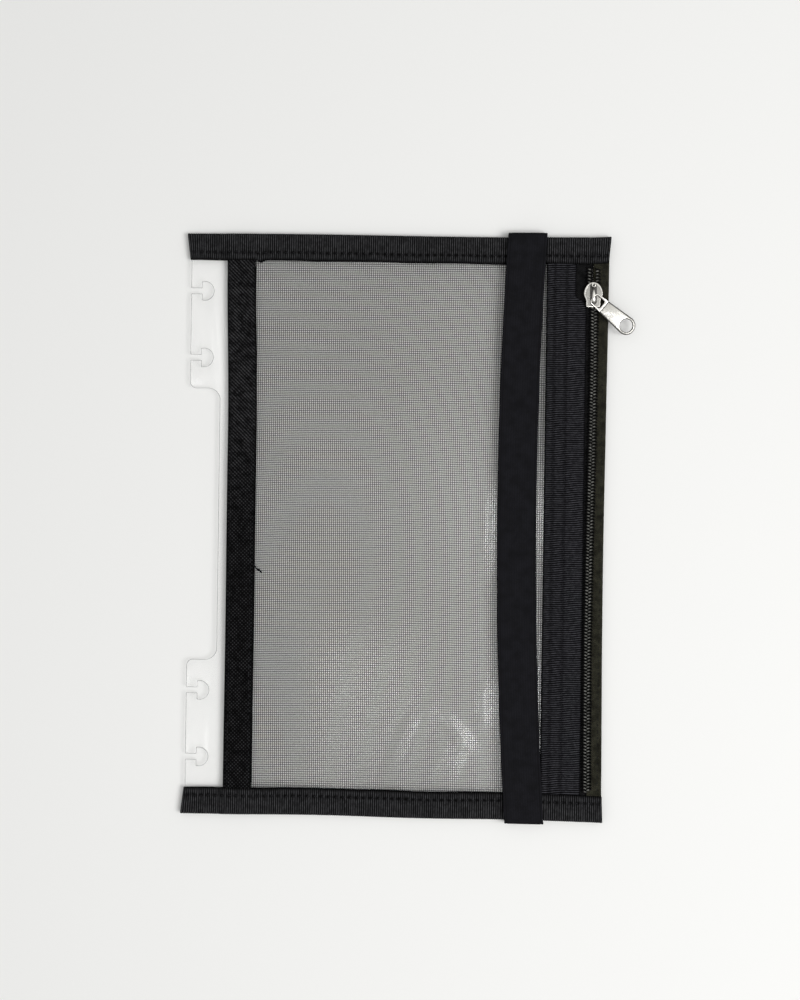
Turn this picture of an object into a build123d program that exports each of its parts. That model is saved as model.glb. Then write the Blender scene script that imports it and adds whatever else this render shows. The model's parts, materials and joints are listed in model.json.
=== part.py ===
from build123d import *
import os
from math import cos, radians, sin

# A zip wallet with a mesh front that clips onto the discs of a disc-bound notebook.
# It lies flat with its front up: X runs from the binder strip to the zip, Y runs up the page
# and Z runs up from the table. The origin is on the table, under the middle of the outline.
# All lengths are in millimetres and all angles in degrees.

# Wallet outline
wallet_width = 160.0
wallet_height = 220.0
binding_depth = 10.5
edge_inset = 1.0

# Layer thicknesses, from the back to the front
ribbon_thickness = 0.4
film_thickness = 0.3
strip_thickness = 0.6
mesh_thickness = 0.35

# Sewing: where the ribbons slope over a layer, and the raised lines of thread
ribbon_slope = 1.0
layer_end_gap = 0.3
binding_seam_inset = 3.0
tape_seam_inset = 1.4
facing_seams = (3.2, 7.6)
thread_width = 0.5
thread_height = 0.15

# Clear binder strip with its disc slots and the recess between the two pairs
disc_pitch = 25.4
slots_per_end = 2
slot_end_margin = 4.0
strip_show = 14.0
strip_tuck = 9.0
slot_neck_width = 2.1
slot_neck_length = 4.3
slot_head_height = 6.8
slot_head_depth = 4.4
recess_depth = 11.5
recess_margin = 11.75
recess_inner_radius = 4.5
recess_outer_radius = 2.4

# Side tape over the join of the strip and the mesh
side_tape_width = 10.8
cloth_tuck = 1.0

# Mesh, drawn as a coarse net
net_columns = 12
net_rows = 24
net_bar = 1.9

# Zip: facing ribbon, tapes and the two coil rows
chain_inset = 6.4
facing_width = 15.0
facing_to_chain = 2.4
tape_gap = 2.0
zip_hem = 8.0
tape_fold_radius = 0.6
coil_row_width = 2.0
coil_spine_width = 1.0
coil_height = 1.2
tooth_pitch = 1.22
tooth_width = 0.52
tooth_overlap = 0.3
row_spread = 0.9
slider_seat = 0.15

# Slider casting
slider_drop = 21.9
slider_length = 9.4
slider_width = 7.0
slider_shoulder = 4.5
slider_waist = 2.6
slider_tail_width = 5.3
slider_plate = 0.8
slider_edge_radius = 0.25
flange_thickness = 0.42
flange_clearance = 0.12
post_length = 3.4
post_width = 0.9
post_nose_inset = 0.5
bridge_width = 0.8
bridge_thickness = 0.7
bridge_boss_radius = 0.8
bridge_boss_inset = 1.35
bridge_tail_foot = 0.5

# Pull tab, lying to one side and drooping a little from the bridge
pull_swing = 39.0
pull_droop = 6.0
pull_thickness = 0.7
pull_reach = 16.25
pull_end_radius = 3.5
pull_hole_radius = 2.45
pull_pivot_drop = 1.06
pull_pivot_lift = 0.9
pull_side_shift = 0.25
eye_length = 4.1
eye_width = 3.5
eye_wire = 0.6
eye_corner_radius = 0.8
eye_to_foot = 1.35
bridge_headroom = 0.6
rim_width = 0.7
rim_height = 0.15
field_start = 6.2

# Elastic band, one closed loop round the wallet
band_width = 14.7
band_thickness = 0.7
band_clearance = 0.15
band_end_clearance = 0.8
band_fold_radius = 0.6
band_to_facing = 0.85

# Levels of the layers above the table
underside_z = band_thickness + band_clearance
film_z = underside_z + ribbon_thickness
strip_z = film_z + film_thickness
mesh_z = strip_z + strip_thickness
tape_z = mesh_z + mesh_thickness
facing_z = tape_z + ribbon_thickness
facing_top_z = facing_z + ribbon_thickness
coil_top_z = facing_z + coil_height
band_front_z = facing_top_z + ribbon_thickness + thread_height + band_clearance

# Places across the wallet: the outline runs from the binding's end to the pull's tip
pull_tip = pull_reach * cos(radians(pull_droop)) * cos(radians(pull_swing))
pull_tip += pull_end_radius - pull_side_shift * sin(radians(pull_swing))
overall_width = wallet_width + max(pull_tip - chain_inset, 0)
left_x = -overall_width / 2
right_x = left_x + wallet_width
strip_left = left_x + edge_inset
side_tape_left = strip_left + strip_show
side_tape_right = side_tape_left + side_tape_width
strip_right = side_tape_left + strip_tuck
cloth_left = side_tape_left + cloth_tuck
chain_x = right_x - chain_inset
facing_right = chain_x - facing_to_chain
facing_left = facing_right - facing_width
mesh_right = chain_x - slider_width / 2 - layer_end_gap
zip_edge = right_x - edge_inset
band_x = facing_left - band_to_facing - band_width / 2

# Places up the wallet
window_y = wallet_height / 2 - binding_depth
layer_end_y = wallet_height / 2 - ribbon_thickness - layer_end_gap
butt_end_y = window_y - layer_end_gap
slider_y = wallet_height / 2 - slider_drop
nose_y = slider_y + slider_length / 2
tail_y = slider_y - slider_length / 2
shoulder_y = nose_y - slider_shoulder
waist_y = shoulder_y - slider_waist
pivot_y = slider_y - pull_pivot_drop

os.makedirs("parts", exist_ok=True)


def rectangle_between(x_low, x_high, y_low, y_high, mode=Mode.ADD):
    """Add or cut a rectangle given by its four sides."""
    with Locations(((x_low + x_high) / 2, (y_low + y_high) / 2)):
        Rectangle(x_high - x_low, y_high - y_low, mode=mode)


def front_line(height):
    """The line that a binding's front follows over the layers, raised by a height."""
    points = [
        (left_x, mesh_z),
        (side_tape_left - ribbon_slope, mesh_z),
        (side_tape_left, facing_z),
        (side_tape_right, facing_z),
        (side_tape_right + ribbon_slope, tape_z),
        (facing_left - ribbon_slope, tape_z),
        (facing_left, facing_top_z),
        (facing_right, facing_top_z),
        (facing_right + ribbon_slope, facing_z),
        (right_x, facing_z),
    ]
    return [(x, z + height) for x, z in points]


# Back sheet of clear film
with BuildPart() as back_sheet:
    with BuildSketch(Plane.XY.offset(film_z)):
        film_right = zip_edge - ribbon_thickness - layer_end_gap
        rectangle_between(cloth_left, film_right, -layer_end_y, layer_end_y)
    extrude(amount=film_thickness)
back_sheet.part.label = "back_sheet"
export_step(back_sheet.part, "parts/back_sheet.step")

# Front mesh, a net in the window with a plain margin under the ribbons
with BuildPart() as front_mesh:
    with BuildSketch(Plane.XY.offset(mesh_z)):
        rectangle_between(cloth_left, mesh_right, -layer_end_y, layer_end_y)
        net_pitch_x = (facing_left - side_tape_right) / net_columns
        net_pitch_y = 2 * window_y / net_rows
        with Locations(((side_tape_right + facing_left) / 2, 0)):
            with GridLocations(net_pitch_x, net_pitch_y, net_columns, net_rows):
                Rectangle(net_pitch_x - net_bar, net_pitch_y - net_bar, mode=Mode.SUBTRACT)
    extrude(amount=mesh_thickness)
front_mesh.part.label = "front_mesh"
export_step(front_mesh.part, "parts/front_mesh.step")

# Clear binder strip: mushroom slots for the discs, and a recess where there are none
slot_limit_y = window_y - slot_end_margin - slot_head_height / 2
disc_count = int(2 * slot_limit_y / disc_pitch) + 1
slotted_discs = [*range(slots_per_end), *range(disc_count - slots_per_end, disc_count)]
slot_heights = [disc_pitch * (disc - (disc_count - 1) / 2) for disc in slotted_discs]
recess_x = strip_left + recess_depth
recess_y = min(y for y in slot_heights if y > 0) - recess_margin
with BuildPart() as binder_strip:
    with BuildSketch(Plane.XY.offset(strip_z)) as strip_plan:
        rectangle_between(strip_left, strip_right, -layer_end_y, layer_end_y)
        rectangle_between(strip_left, recess_x, -recess_y, recess_y, mode=Mode.SUBTRACT)
        recess_corners = strip_plan.vertices().filter_by_position(Axis.Y, -recess_y, recess_y)
        fillet(recess_corners.group_by(Axis.X)[-1], recess_inner_radius)
        recess_corners = strip_plan.vertices().filter_by_position(Axis.Y, -recess_y, recess_y)
        fillet(recess_corners.group_by(Axis.X)[0], recess_outer_radius)
        head_x = strip_left + slot_neck_length
        for slot_y in slot_heights:
            neck_low = slot_y - slot_neck_width / 2
            rectangle_between(strip_left, head_x, neck_low, neck_low + slot_neck_width, Mode.SUBTRACT)
            head_low = (head_x, slot_y - slot_head_height / 2)
            head_high = (head_x, slot_y + slot_head_height / 2)
            with BuildLine():
                ThreePointArc(head_low, (head_x + slot_head_depth, slot_y), head_high)
                Line(head_high, head_low)
            make_face(mode=Mode.SUBTRACT)
    extrude(amount=strip_thickness)
binder_strip.part.label = "binder_strip"
export_step(binder_strip.part, "parts/binder_strip.step")

# Side tapes, front and back, that cover the join of the strip, mesh and film
for name, level, end_y in (
    ("side_tape_front", tape_z, layer_end_y),
    ("side_tape_back", underside_z, butt_end_y),
):
    with BuildPart() as side_tape:
        with BuildSketch(Plane.XY.offset(level)):
            rectangle_between(side_tape_left, side_tape_right, -end_y, end_y)
        extrude(amount=ribbon_thickness)
    side_tape.part.label = name
    export_step(side_tape.part, f"parts/{name}.step")

# Top and bottom bindings: a ribbon folded over the edge, its front following the layers below
for name, side in (("top_binding", 1), ("bottom_binding", -1)):
    leg_y = side * (wallet_height - binding_depth) / 2
    fold_y = side * (wallet_height - ribbon_thickness) / 2
    front_face = front_line(ribbon_thickness)
    with BuildPart() as binding:
        with BuildSketch(Plane.XZ.offset(-leg_y)):
            with BuildLine():
                Polyline(*front_line(0), *reversed(front_face), close=True)
            make_face()
            rectangle_between(left_x, right_x, underside_z, film_z)
        extrude(amount=binding_depth / 2, both=True)
        with BuildSketch(Plane.XZ.offset(-fold_y)):
            with BuildLine():
                Polyline((left_x, underside_z), *front_face, (right_x, underside_z), close=True)
            make_face()
        extrude(amount=ribbon_thickness / 2, both=True)
    binding.part.label = name
    export_step(binding.part, f"parts/{name}.step")

# Thread lines along the inner margin of each binding
for name, side in (("top_binding_thread", 1), ("bottom_binding_thread", -1)):
    thread_y = side * (window_y + binding_seam_inset)
    with BuildPart() as binding_thread:
        with BuildSketch(Plane.XZ.offset(-thread_y)):
            with BuildLine():
                thread_top = front_line(ribbon_thickness + thread_height)
                Polyline(*front_line(ribbon_thickness), *reversed(thread_top), close=True)
            make_face()
        extrude(amount=thread_width / 2, both=True)
    binding_thread.part.label = name
    export_step(binding_thread.part, f"parts/{name}.step")

# Zip tapes: the left one lies on the mesh, the right one folds round the edge to hem the film
tape_inner = tape_gap / 2
with BuildPart() as zip_tape_left:
    with BuildSketch(Plane.XY.offset(tape_z)):
        rectangle_between(facing_left + cloth_tuck, chain_x - tape_inner, -layer_end_y, layer_end_y)
    extrude(amount=ribbon_thickness)
zip_tape_left.part.label = "zip_tape_left"
export_step(zip_tape_left.part, "parts/zip_tape_left.step")

with BuildPart() as zip_tape_right:
    with BuildSketch(Plane.XZ):
        rectangle_between(chain_x + tape_inner, zip_edge, tape_z, facing_z)
        rectangle_between(zip_edge - ribbon_thickness, zip_edge, underside_z, facing_z)
        rectangle_between(zip_edge - zip_hem, zip_edge, underside_z, film_z)
    extrude(amount=butt_end_y, both=True)
    fold_edges = zip_tape_right.edges().filter_by(Axis.Y).group_by(Axis.X)[-1]
    fillet(fold_edges, min(tape_fold_radius, (facing_z - underside_z) / 3))
    with BuildSketch(Plane.XY.offset(tape_z)):
        tape_end = zip_edge - ribbon_thickness - layer_end_gap
        rectangle_between(chain_x + tape_inner, tape_end, -layer_end_y, layer_end_y)
    extrude(amount=ribbon_thickness)
zip_tape_right.part.label = "zip_tape_right"
export_step(zip_tape_right.part, "parts/zip_tape_right.step")

# Facing ribbon over the sewn edge of the left zip tape, drawn back beside the open end of the chain
facing_outline = [
    (facing_left, -layer_end_y),
    (facing_right, -layer_end_y),
    (facing_right, waist_y),
    (facing_right - row_spread, nose_y),
    (facing_right - row_spread, layer_end_y),
    (facing_left, layer_end_y),
]
with BuildPart() as zip_facing:
    with BuildSketch(Plane.XY.offset(facing_z)):
        with BuildLine():
            Polyline(*facing_outline, close=True)
        make_face()
    extrude(amount=ribbon_thickness)
zip_facing.part.label = "zip_facing"
export_step(zip_facing.part, "parts/zip_facing.step")

# Thread lines up the side tape, the facing and the right zip tape
side_seams = (side_tape_left + tape_seam_inset, side_tape_right - tape_seam_inset)
for name, level, seams in (
    ("side_tape_thread", facing_z, side_seams),
    ("facing_thread", facing_top_z, [facing_left + inset for inset in facing_seams]),
    ("zip_edge_thread", facing_z, [zip_edge - tape_seam_inset]),
):
    with BuildPart() as tape_thread:
        with BuildSketch(Plane.XY.offset(level)):
            with Locations(*[(seam_x, 0) for seam_x in seams]):
                Rectangle(thread_width, 2 * butt_end_y)
        extrude(amount=thread_height)
    tape_thread.part.label = name
    export_step(tape_thread.part, f"parts/{name}.step")

# Coil rows, meshed below the slider and spread apart above it
spread_start = waist_y
spread_end = nose_y
for name, side, first_tooth in (
    ("zip_coil_left", -1, 0),
    ("zip_coil_right", 1, tooth_pitch / 2),
):
    outer = coil_row_width
    inner = coil_row_width - coil_spine_width
    spine_line = [
        (outer, -butt_end_y),
        (outer, spread_start),
        (outer + row_spread, spread_end),
        (outer + row_spread, butt_end_y),
        (inner + row_spread, butt_end_y),
        (inner + row_spread, spread_end),
        (inner, spread_start),
        (inner, -butt_end_y),
    ]
    tooth_length = inner + tooth_overlap
    tooth_count = int((2 * butt_end_y - tooth_width - first_tooth) / tooth_pitch) + 1
    lowest_tooth = -butt_end_y + tooth_width / 2 + first_tooth
    tooth_heights = [lowest_tooth + tooth_pitch * number for number in range(tooth_count)]
    meshed = [y for y in tooth_heights if y + tooth_width / 2 < spread_start]
    spread = [y for y in tooth_heights if y - tooth_width / 2 > spread_end]
    tooth_middle = inner - tooth_length / 2
    tooth_places = [(tooth_middle, y) for y in meshed]
    tooth_places += [(tooth_middle + row_spread, y) for y in spread]
    with BuildPart() as coil_row:
        with BuildSketch(Plane.XY.offset(facing_z)):
            with BuildLine():
                Polyline(*[(chain_x + side * x, y) for x, y in spine_line], close=True)
            make_face()
            with Locations(*[(chain_x + side * x, y) for x, y in tooth_places]):
                Rectangle(tooth_length, tooth_width)
        extrude(amount=coil_height)
    coil_row.part.label = name
    export_step(coil_row.part, f"parts/{name}.step")

# Slider casting: two plates joined by a post, side flanges, and a bridge for the pull
lower_plate_z = strip_z + slider_seat
lower_plate_top = tape_z - flange_clearance
upper_plate_z = coil_top_z + slider_seat
upper_plate_top = upper_plate_z + slider_plate
flange_z = facing_top_z + flange_clearance
pivot_z = upper_plate_top + pull_pivot_lift
bridge_z = pivot_z + bridge_headroom
bridge_top = bridge_z + bridge_thickness
foot_y = pivot_y - eye_to_foot
boss_y = nose_y - bridge_boss_inset


def slider_outline():
    """The slider seen from above: a round nose, shoulders and a narrower straight tail."""
    half = slider_width / 2
    tail = slider_tail_width / 2
    mid_y = (shoulder_y + waist_y) / 2
    with BuildLine() as outline:
        EllipticalCenterArc((chain_x, shoulder_y), half, slider_shoulder, arc_size=180)
        for side in (-1, 1):
            Bezier(
                (chain_x + side * half, shoulder_y),
                (chain_x + side * half, mid_y),
                (chain_x + side * tail, mid_y),
                (chain_x + side * tail, waist_y),
            )
            Line((chain_x + side * tail, waist_y), (chain_x + side * tail, tail_y))
        Line((chain_x - tail, tail_y), (chain_x + tail, tail_y))
    make_face(outline.edges())


with BuildPart() as slider_body:
    with BuildSketch(Plane.XY.offset(upper_plate_z)):
        slider_outline()
    extrude(amount=slider_plate)
    fillet(slider_body.faces().sort_by(Axis.Z)[-1].edges(), slider_edge_radius)
    with BuildSketch(Plane.XY.offset(lower_plate_z)):
        slider_outline()
    extrude(amount=lower_plate_top - lower_plate_z)
    with BuildSketch(Plane.XY.offset(flange_z)):
        slider_outline()
        wide = slider_width / 2 - flange_thickness
        narrow = slider_tail_width / 2 - flange_thickness
        channel_side = [
            (wide, nose_y + slider_length),
            (wide, shoulder_y),
            (narrow, waist_y),
            (narrow, tail_y - slider_length),
        ]
        with BuildLine():
            channel_right = [(chain_x + x, y) for x, y in channel_side]
            channel_left = [(chain_x - x, y) for x, y in reversed(channel_side)]
            Polyline(*channel_right, *channel_left, close=True)
        make_face(mode=Mode.SUBTRACT)
    extrude(amount=upper_plate_z - flange_z)
    with BuildSketch(Plane.XY.offset(lower_plate_top)):
        with Locations((chain_x, nose_y - post_nose_inset - post_length / 2)):
            SlotOverall(post_length, post_width, rotation=90)
    extrude(amount=upper_plate_z - lower_plate_top)
    with BuildSketch(Plane.YZ.offset(chain_x)):
        rectangle_between(foot_y - bridge_tail_foot, boss_y, upper_plate_top, bridge_top)
        rectangle_between(foot_y, boss_y, upper_plate_top, bridge_z, mode=Mode.SUBTRACT)
    extrude(amount=bridge_width / 2, both=True)
    with BuildSketch(Plane.XY.offset(upper_plate_top)):
        with Locations((chain_x, boss_y)):
            Circle(bridge_boss_radius)
    extrude(amount=bridge_top - upper_plate_top)
slider_body.part.label = "slider_body"
export_step(slider_body.part, "parts/slider_body.step")

# Pull tab: an eye round the bridge's tail foot, a tapered blade with a rim, and a cord hole
swing = radians(pull_swing)
droop = radians(pull_droop)
pull_plane = Plane(
    origin=(chain_x, pivot_y, pivot_z),
    x_dir=(cos(swing) * cos(droop), -sin(swing) * cos(droop), -sin(droop)),
    z_dir=(cos(swing) * sin(droop), -sin(swing) * sin(droop), cos(droop)),
)
eye_outer = eye_width / 2 + eye_wire
eye_outer_radius = eye_corner_radius + eye_wire


def pull_outline():
    """The pull seen from above, its eye at the pivot and its round end at the hole."""
    corner_x = eye_outer_radius - eye_wire / 2
    corner_y = eye_outer - eye_outer_radius
    with Locations((corner_x, corner_y - pull_side_shift), (corner_x, -corner_y - pull_side_shift)):
        Circle(eye_outer_radius)
    with Locations((pull_reach, -pull_side_shift)):
        Circle(pull_end_radius)
    make_hull()


with BuildPart() as pull_tab:
    with BuildSketch(pull_plane.offset(-pull_thickness / 2)):
        pull_outline()
        with Locations((eye_wire / 2 + eye_length / 2, -pull_side_shift)):
            RectangleRounded(eye_length, eye_width, eye_corner_radius, mode=Mode.SUBTRACT)
        with Locations((pull_reach, -pull_side_shift)):
            Circle(pull_hole_radius, mode=Mode.SUBTRACT)
    extrude(amount=pull_thickness)
    with BuildSketch(pull_plane.offset(pull_thickness / 2)):
        pull_outline()
        offset(amount=-rim_width, mode=Mode.SUBTRACT)
        with Locations((pull_reach, -pull_side_shift)):
            Circle(pull_hole_radius + rim_width)
            Circle(pull_hole_radius, mode=Mode.SUBTRACT)
        rectangle_between(-eye_wire, field_start, -2 * eye_outer, 2 * eye_outer, mode=Mode.SUBTRACT)
    extrude(amount=rim_height)
pull_tab.part.label = "pull_tab"
export_step(pull_tab.part, "parts/pull_tab.step")

# Elastic band
band_reach = wallet_height + 2 * band_end_clearance
with BuildPart() as elastic_band:
    with BuildSketch(Plane.YZ.offset(band_x)):
        with Locations((0, (band_thickness + band_front_z) / 2)):
            inner_height = band_front_z - band_thickness
            outer_length = band_reach + 2 * band_thickness
            outer_height = inner_height + 2 * band_thickness
            RectangleRounded(outer_length, outer_height, band_fold_radius + band_thickness)
            RectangleRounded(band_reach, inner_height, band_fold_radius, mode=Mode.SUBTRACT)
    extrude(amount=band_width / 2, both=True)
elastic_band.part.label = "elastic_band"
export_step(elastic_band.part, "parts/elastic_band.step")
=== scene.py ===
"""The looks of a zip wallet with a mesh front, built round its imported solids.

Sizes are in millimetres until a mesh is made, because Blender works in metres. X runs from the clear
binder strip to the zip, Y runs up the page and Z runs up from the table.
"""

import functools
import json
import logging
import math
from collections.abc import Callable, Iterable, Sequence
from dataclasses import dataclass
from enum import Enum
from typing import ClassVar

import bmesh
import bpy
import numpy as np
from mathutils import Matrix, Vector
from mathutils.geometry import convex_hull_2d


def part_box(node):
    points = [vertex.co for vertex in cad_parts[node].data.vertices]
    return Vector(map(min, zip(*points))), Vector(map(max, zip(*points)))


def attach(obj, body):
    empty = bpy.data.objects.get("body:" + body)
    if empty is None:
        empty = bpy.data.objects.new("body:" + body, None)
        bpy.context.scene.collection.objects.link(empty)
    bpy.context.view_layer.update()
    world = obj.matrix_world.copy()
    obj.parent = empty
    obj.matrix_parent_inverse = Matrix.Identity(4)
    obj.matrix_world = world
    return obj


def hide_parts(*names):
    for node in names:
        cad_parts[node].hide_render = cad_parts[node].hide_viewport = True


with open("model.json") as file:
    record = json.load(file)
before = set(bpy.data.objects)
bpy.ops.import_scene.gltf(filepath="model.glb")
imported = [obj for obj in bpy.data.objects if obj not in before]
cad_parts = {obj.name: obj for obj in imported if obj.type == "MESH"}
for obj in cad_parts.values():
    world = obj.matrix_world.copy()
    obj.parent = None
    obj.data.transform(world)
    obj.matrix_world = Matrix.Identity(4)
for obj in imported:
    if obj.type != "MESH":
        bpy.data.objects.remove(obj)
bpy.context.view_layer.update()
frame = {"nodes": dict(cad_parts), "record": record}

MM = 0.001
# A higher power narrows the painted highlights on the crests of every weave.
CREST_POWER = 8
# Past this share of a fold's height, a folded ribbon lies flat.
FLAT_SHARE = 0.99
# Points of a solid that are nearer to each other than this are one point.
MERGED = 1e-4
# Between these upward tilts, the painted light of a cast plate grows from painted shade on its walls to its
# full value on its faces.
FACE_TILT = (0.45, 0.98)
LOG = logging.getLogger("zip_wallet")
Relief = Callable[[np.ndarray, np.ndarray], np.ndarray]


class Body(Enum):
    """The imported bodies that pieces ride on."""

    WALLET = "wallet"
    SLIDER = "slider"
    PULL = "pull"
    BAND = "band"


class Edge(Enum):
    """The two bound edges, by the sign of their Y."""

    TOP = 1
    BOTTOM = -1


class Row(Enum):
    """The two coil rows, by the side of the chain that each lies on."""

    LEFT = -1
    RIGHT = 1


class Face(Enum):
    """Which face of a tape carries its weave relief, by the sign of its Z."""

    UP = 1
    DOWN = -1


@dataclass(frozen=True)
class Extent:
    """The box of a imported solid, in millimetres."""

    x_low: float
    x_high: float
    y_low: float
    y_high: float
    z_low: float
    z_high: float

    @classmethod
    def of(cls, node: str) -> "Extent":
        """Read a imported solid's box."""
        low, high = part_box(node)
        return cls(*[value / MM for pair in zip(low, high) for value in pair])


@dataclass
class Shape:
    """Points in millimetres, the faces between them, and each point's nearness to the weave's crest, which
    sets its painted light: 1 a painted highlight, 0 painted shade.
    """

    points: np.ndarray
    faces: list[list[int]]
    crest: np.ndarray | None = None

    @classmethod
    def joined(cls, shapes: Iterable["Shape"]) -> "Shape":
        """Put several shapes into one.

        Args:
            shapes: the shapes to join, in order.

        Returns:
            One shape with all their points, faces and crests.
        """
        points, faces, crests, start = [], [], [], 0
        for shape in shapes:
            points.append(shape.points)
            crests.append(np.ones(len(shape.points)) if shape.crest is None else shape.crest.ravel())
            faces += [[start + corner for corner in face] for face in shape.faces]
            start += len(shape.points)
        return cls(np.concatenate(points), faces, np.concatenate(crests))

    def piece(self, name: str) -> bpy.types.Object:
        """Make a smooth-shaded object of this shape, with its normals facing out.

        Args:
            name: the piece's name.

        Returns:
            The new object, linked to the scene.
        """
        mesh = bpy.data.meshes.new(name)
        mesh.from_pydata((self.points * MM).tolist(), [], self.faces)
        work = bmesh.new()
        work.from_mesh(mesh)
        bmesh.ops.recalc_face_normals(work, faces=work.faces)
        work.to_mesh(mesh)
        work.free()
        mesh.shade_smooth()
        crest = np.ones(len(self.points)) if self.crest is None else self.crest
        mesh.attributes.new("crest", "FLOAT", "POINT").data.foreach_set("value", crest.ravel())
        piece = bpy.data.objects.new(name, mesh)
        bpy.context.scene.collection.objects.link(piece)
        return piece


def grid_faces(rows: int, count: int, loop: bool = False) -> list[list[int]]:
    """Quads between rows of points that lie one after the other, each row a closed ring.

    Args:
        rows: how many rows there are.
        count: how many points a row has.
        loop: whether the last row joins the first.

    Returns:
        The quads as lists of point numbers.
    """
    row = np.arange(rows if loop else rows - 1)[:, None]
    point = np.arange(count)[None, :]
    following = (row + 1) % rows * count
    beside = (point + 1) % count
    corners = [row * count + point, row * count + beside, following + beside, following + point]
    return np.stack(np.broadcast_arrays(*corners), axis=-1).reshape(-1, 4).tolist()


def swept(sections: np.ndarray, paired: bool, crest: np.ndarray | None = None) -> Shape:
    """A closed solid through sections that are closed rings of points.

    Args:
        sections: points by section, place in the ring and axis.
        paired: whether the ring's two halves lie side by side, as in a folded ribbon, so that each end
            is closed by quads from one half to the other. Otherwise each end is one flat face.
        crest: how near each point is to the crest of the weave, from 0 to 1.

    Returns:
        The solid's shape.
    """
    rows, count = sections.shape[:2]
    faces = grid_faces(rows, count)
    for first in (0, (rows - 1) * count):
        if paired:
            for place in range(count // 2 - 1):
                far = count - 1 - place
                faces.append([first + place, first + place + 1, first + far - 1, first + far])
        else:
            faces.append(list(range(first, first + count)))
    return Shape(sections.reshape(-1, 3), faces, crest)


def ridge(phase: np.ndarray) -> np.ndarray:
    """Round ridges, from 0 in a narrow valley to 1 on a crest, one for each whole phase."""
    return np.sqrt(np.abs(np.sin(np.pi * phase)))


def crest_share(relief: np.ndarray, depth: float) -> np.ndarray:
    """How near a relief is to its crest, which sets its painted light: 1 on top, and soon 0, painted shade,
    on the way down to its depth.
    """
    return np.clip(1 + relief / depth, 0, 1) ** CREST_POWER


def smooth(value: np.ndarray, low: float, high: float) -> np.ndarray:
    """A soft step from 0 at the low value to 1 at the high one."""
    share = np.clip((value - low) / (high - low), 0, 1)
    return share * share * (3 - 2 * share)


def linear(hex_colour: str) -> tuple[float, float, float, float]:
    """Turn an sRGB hex colour into Blender's linear one.

    Args:
        hex_colour: six hex digits after a hash.

    Returns:
        Red, green, blue and an alpha of 1.
    """
    channels = [int(hex_colour[place : place + 2], 16) / 255 for place in (1, 3, 5)]
    bent = [c / 12.92 if c <= 0.04045 else ((c + 0.055) / 1.055) ** 2.4 for c in channels]
    return (*bent, 1.0)


def add_node(
    tree: bpy.types.NodeTree, kind: str, settings: dict | None = None, links: dict | None = None
) -> bpy.types.Node:
    """Add a shader node with its settings and links.

    Args:
        tree: the node tree to add to.
        kind: the node's type.
        settings: values of its properties, or of its inputs by name or number.
        links: output sockets to link to its inputs, by name or number.

    Returns:
        The new node.
    """
    node = tree.nodes.new(kind)
    for key, value in (settings or {}).items():
        if isinstance(key, str) and hasattr(node, key):
            setattr(node, key, value)
        else:
            node.inputs[key].default_value = value
    for key, socket in (links or {}).items():
        tree.links.new(socket, node.inputs[key])
    return node


@dataclass(frozen=True)
class Finish:
    """A finish that makes one material: its name, its main colour and its roughness."""

    name: str
    colour: str
    roughness: float

    @functools.cache
    def material(self) -> bpy.types.Material:
        """Make the material once."""
        material = bpy.data.materials.new(self.name)
        material.use_nodes = True
        tree = material.node_tree
        tree.nodes.clear()
        output = add_node(tree, "ShaderNodeOutputMaterial")
        tree.links.new(self.shader(tree), output.inputs["Surface"])
        return material

    def shader(self, tree: bpy.types.NodeTree) -> bpy.types.NodeSocket:
        """Build the shader and return its output."""
        raise NotImplementedError


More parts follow.
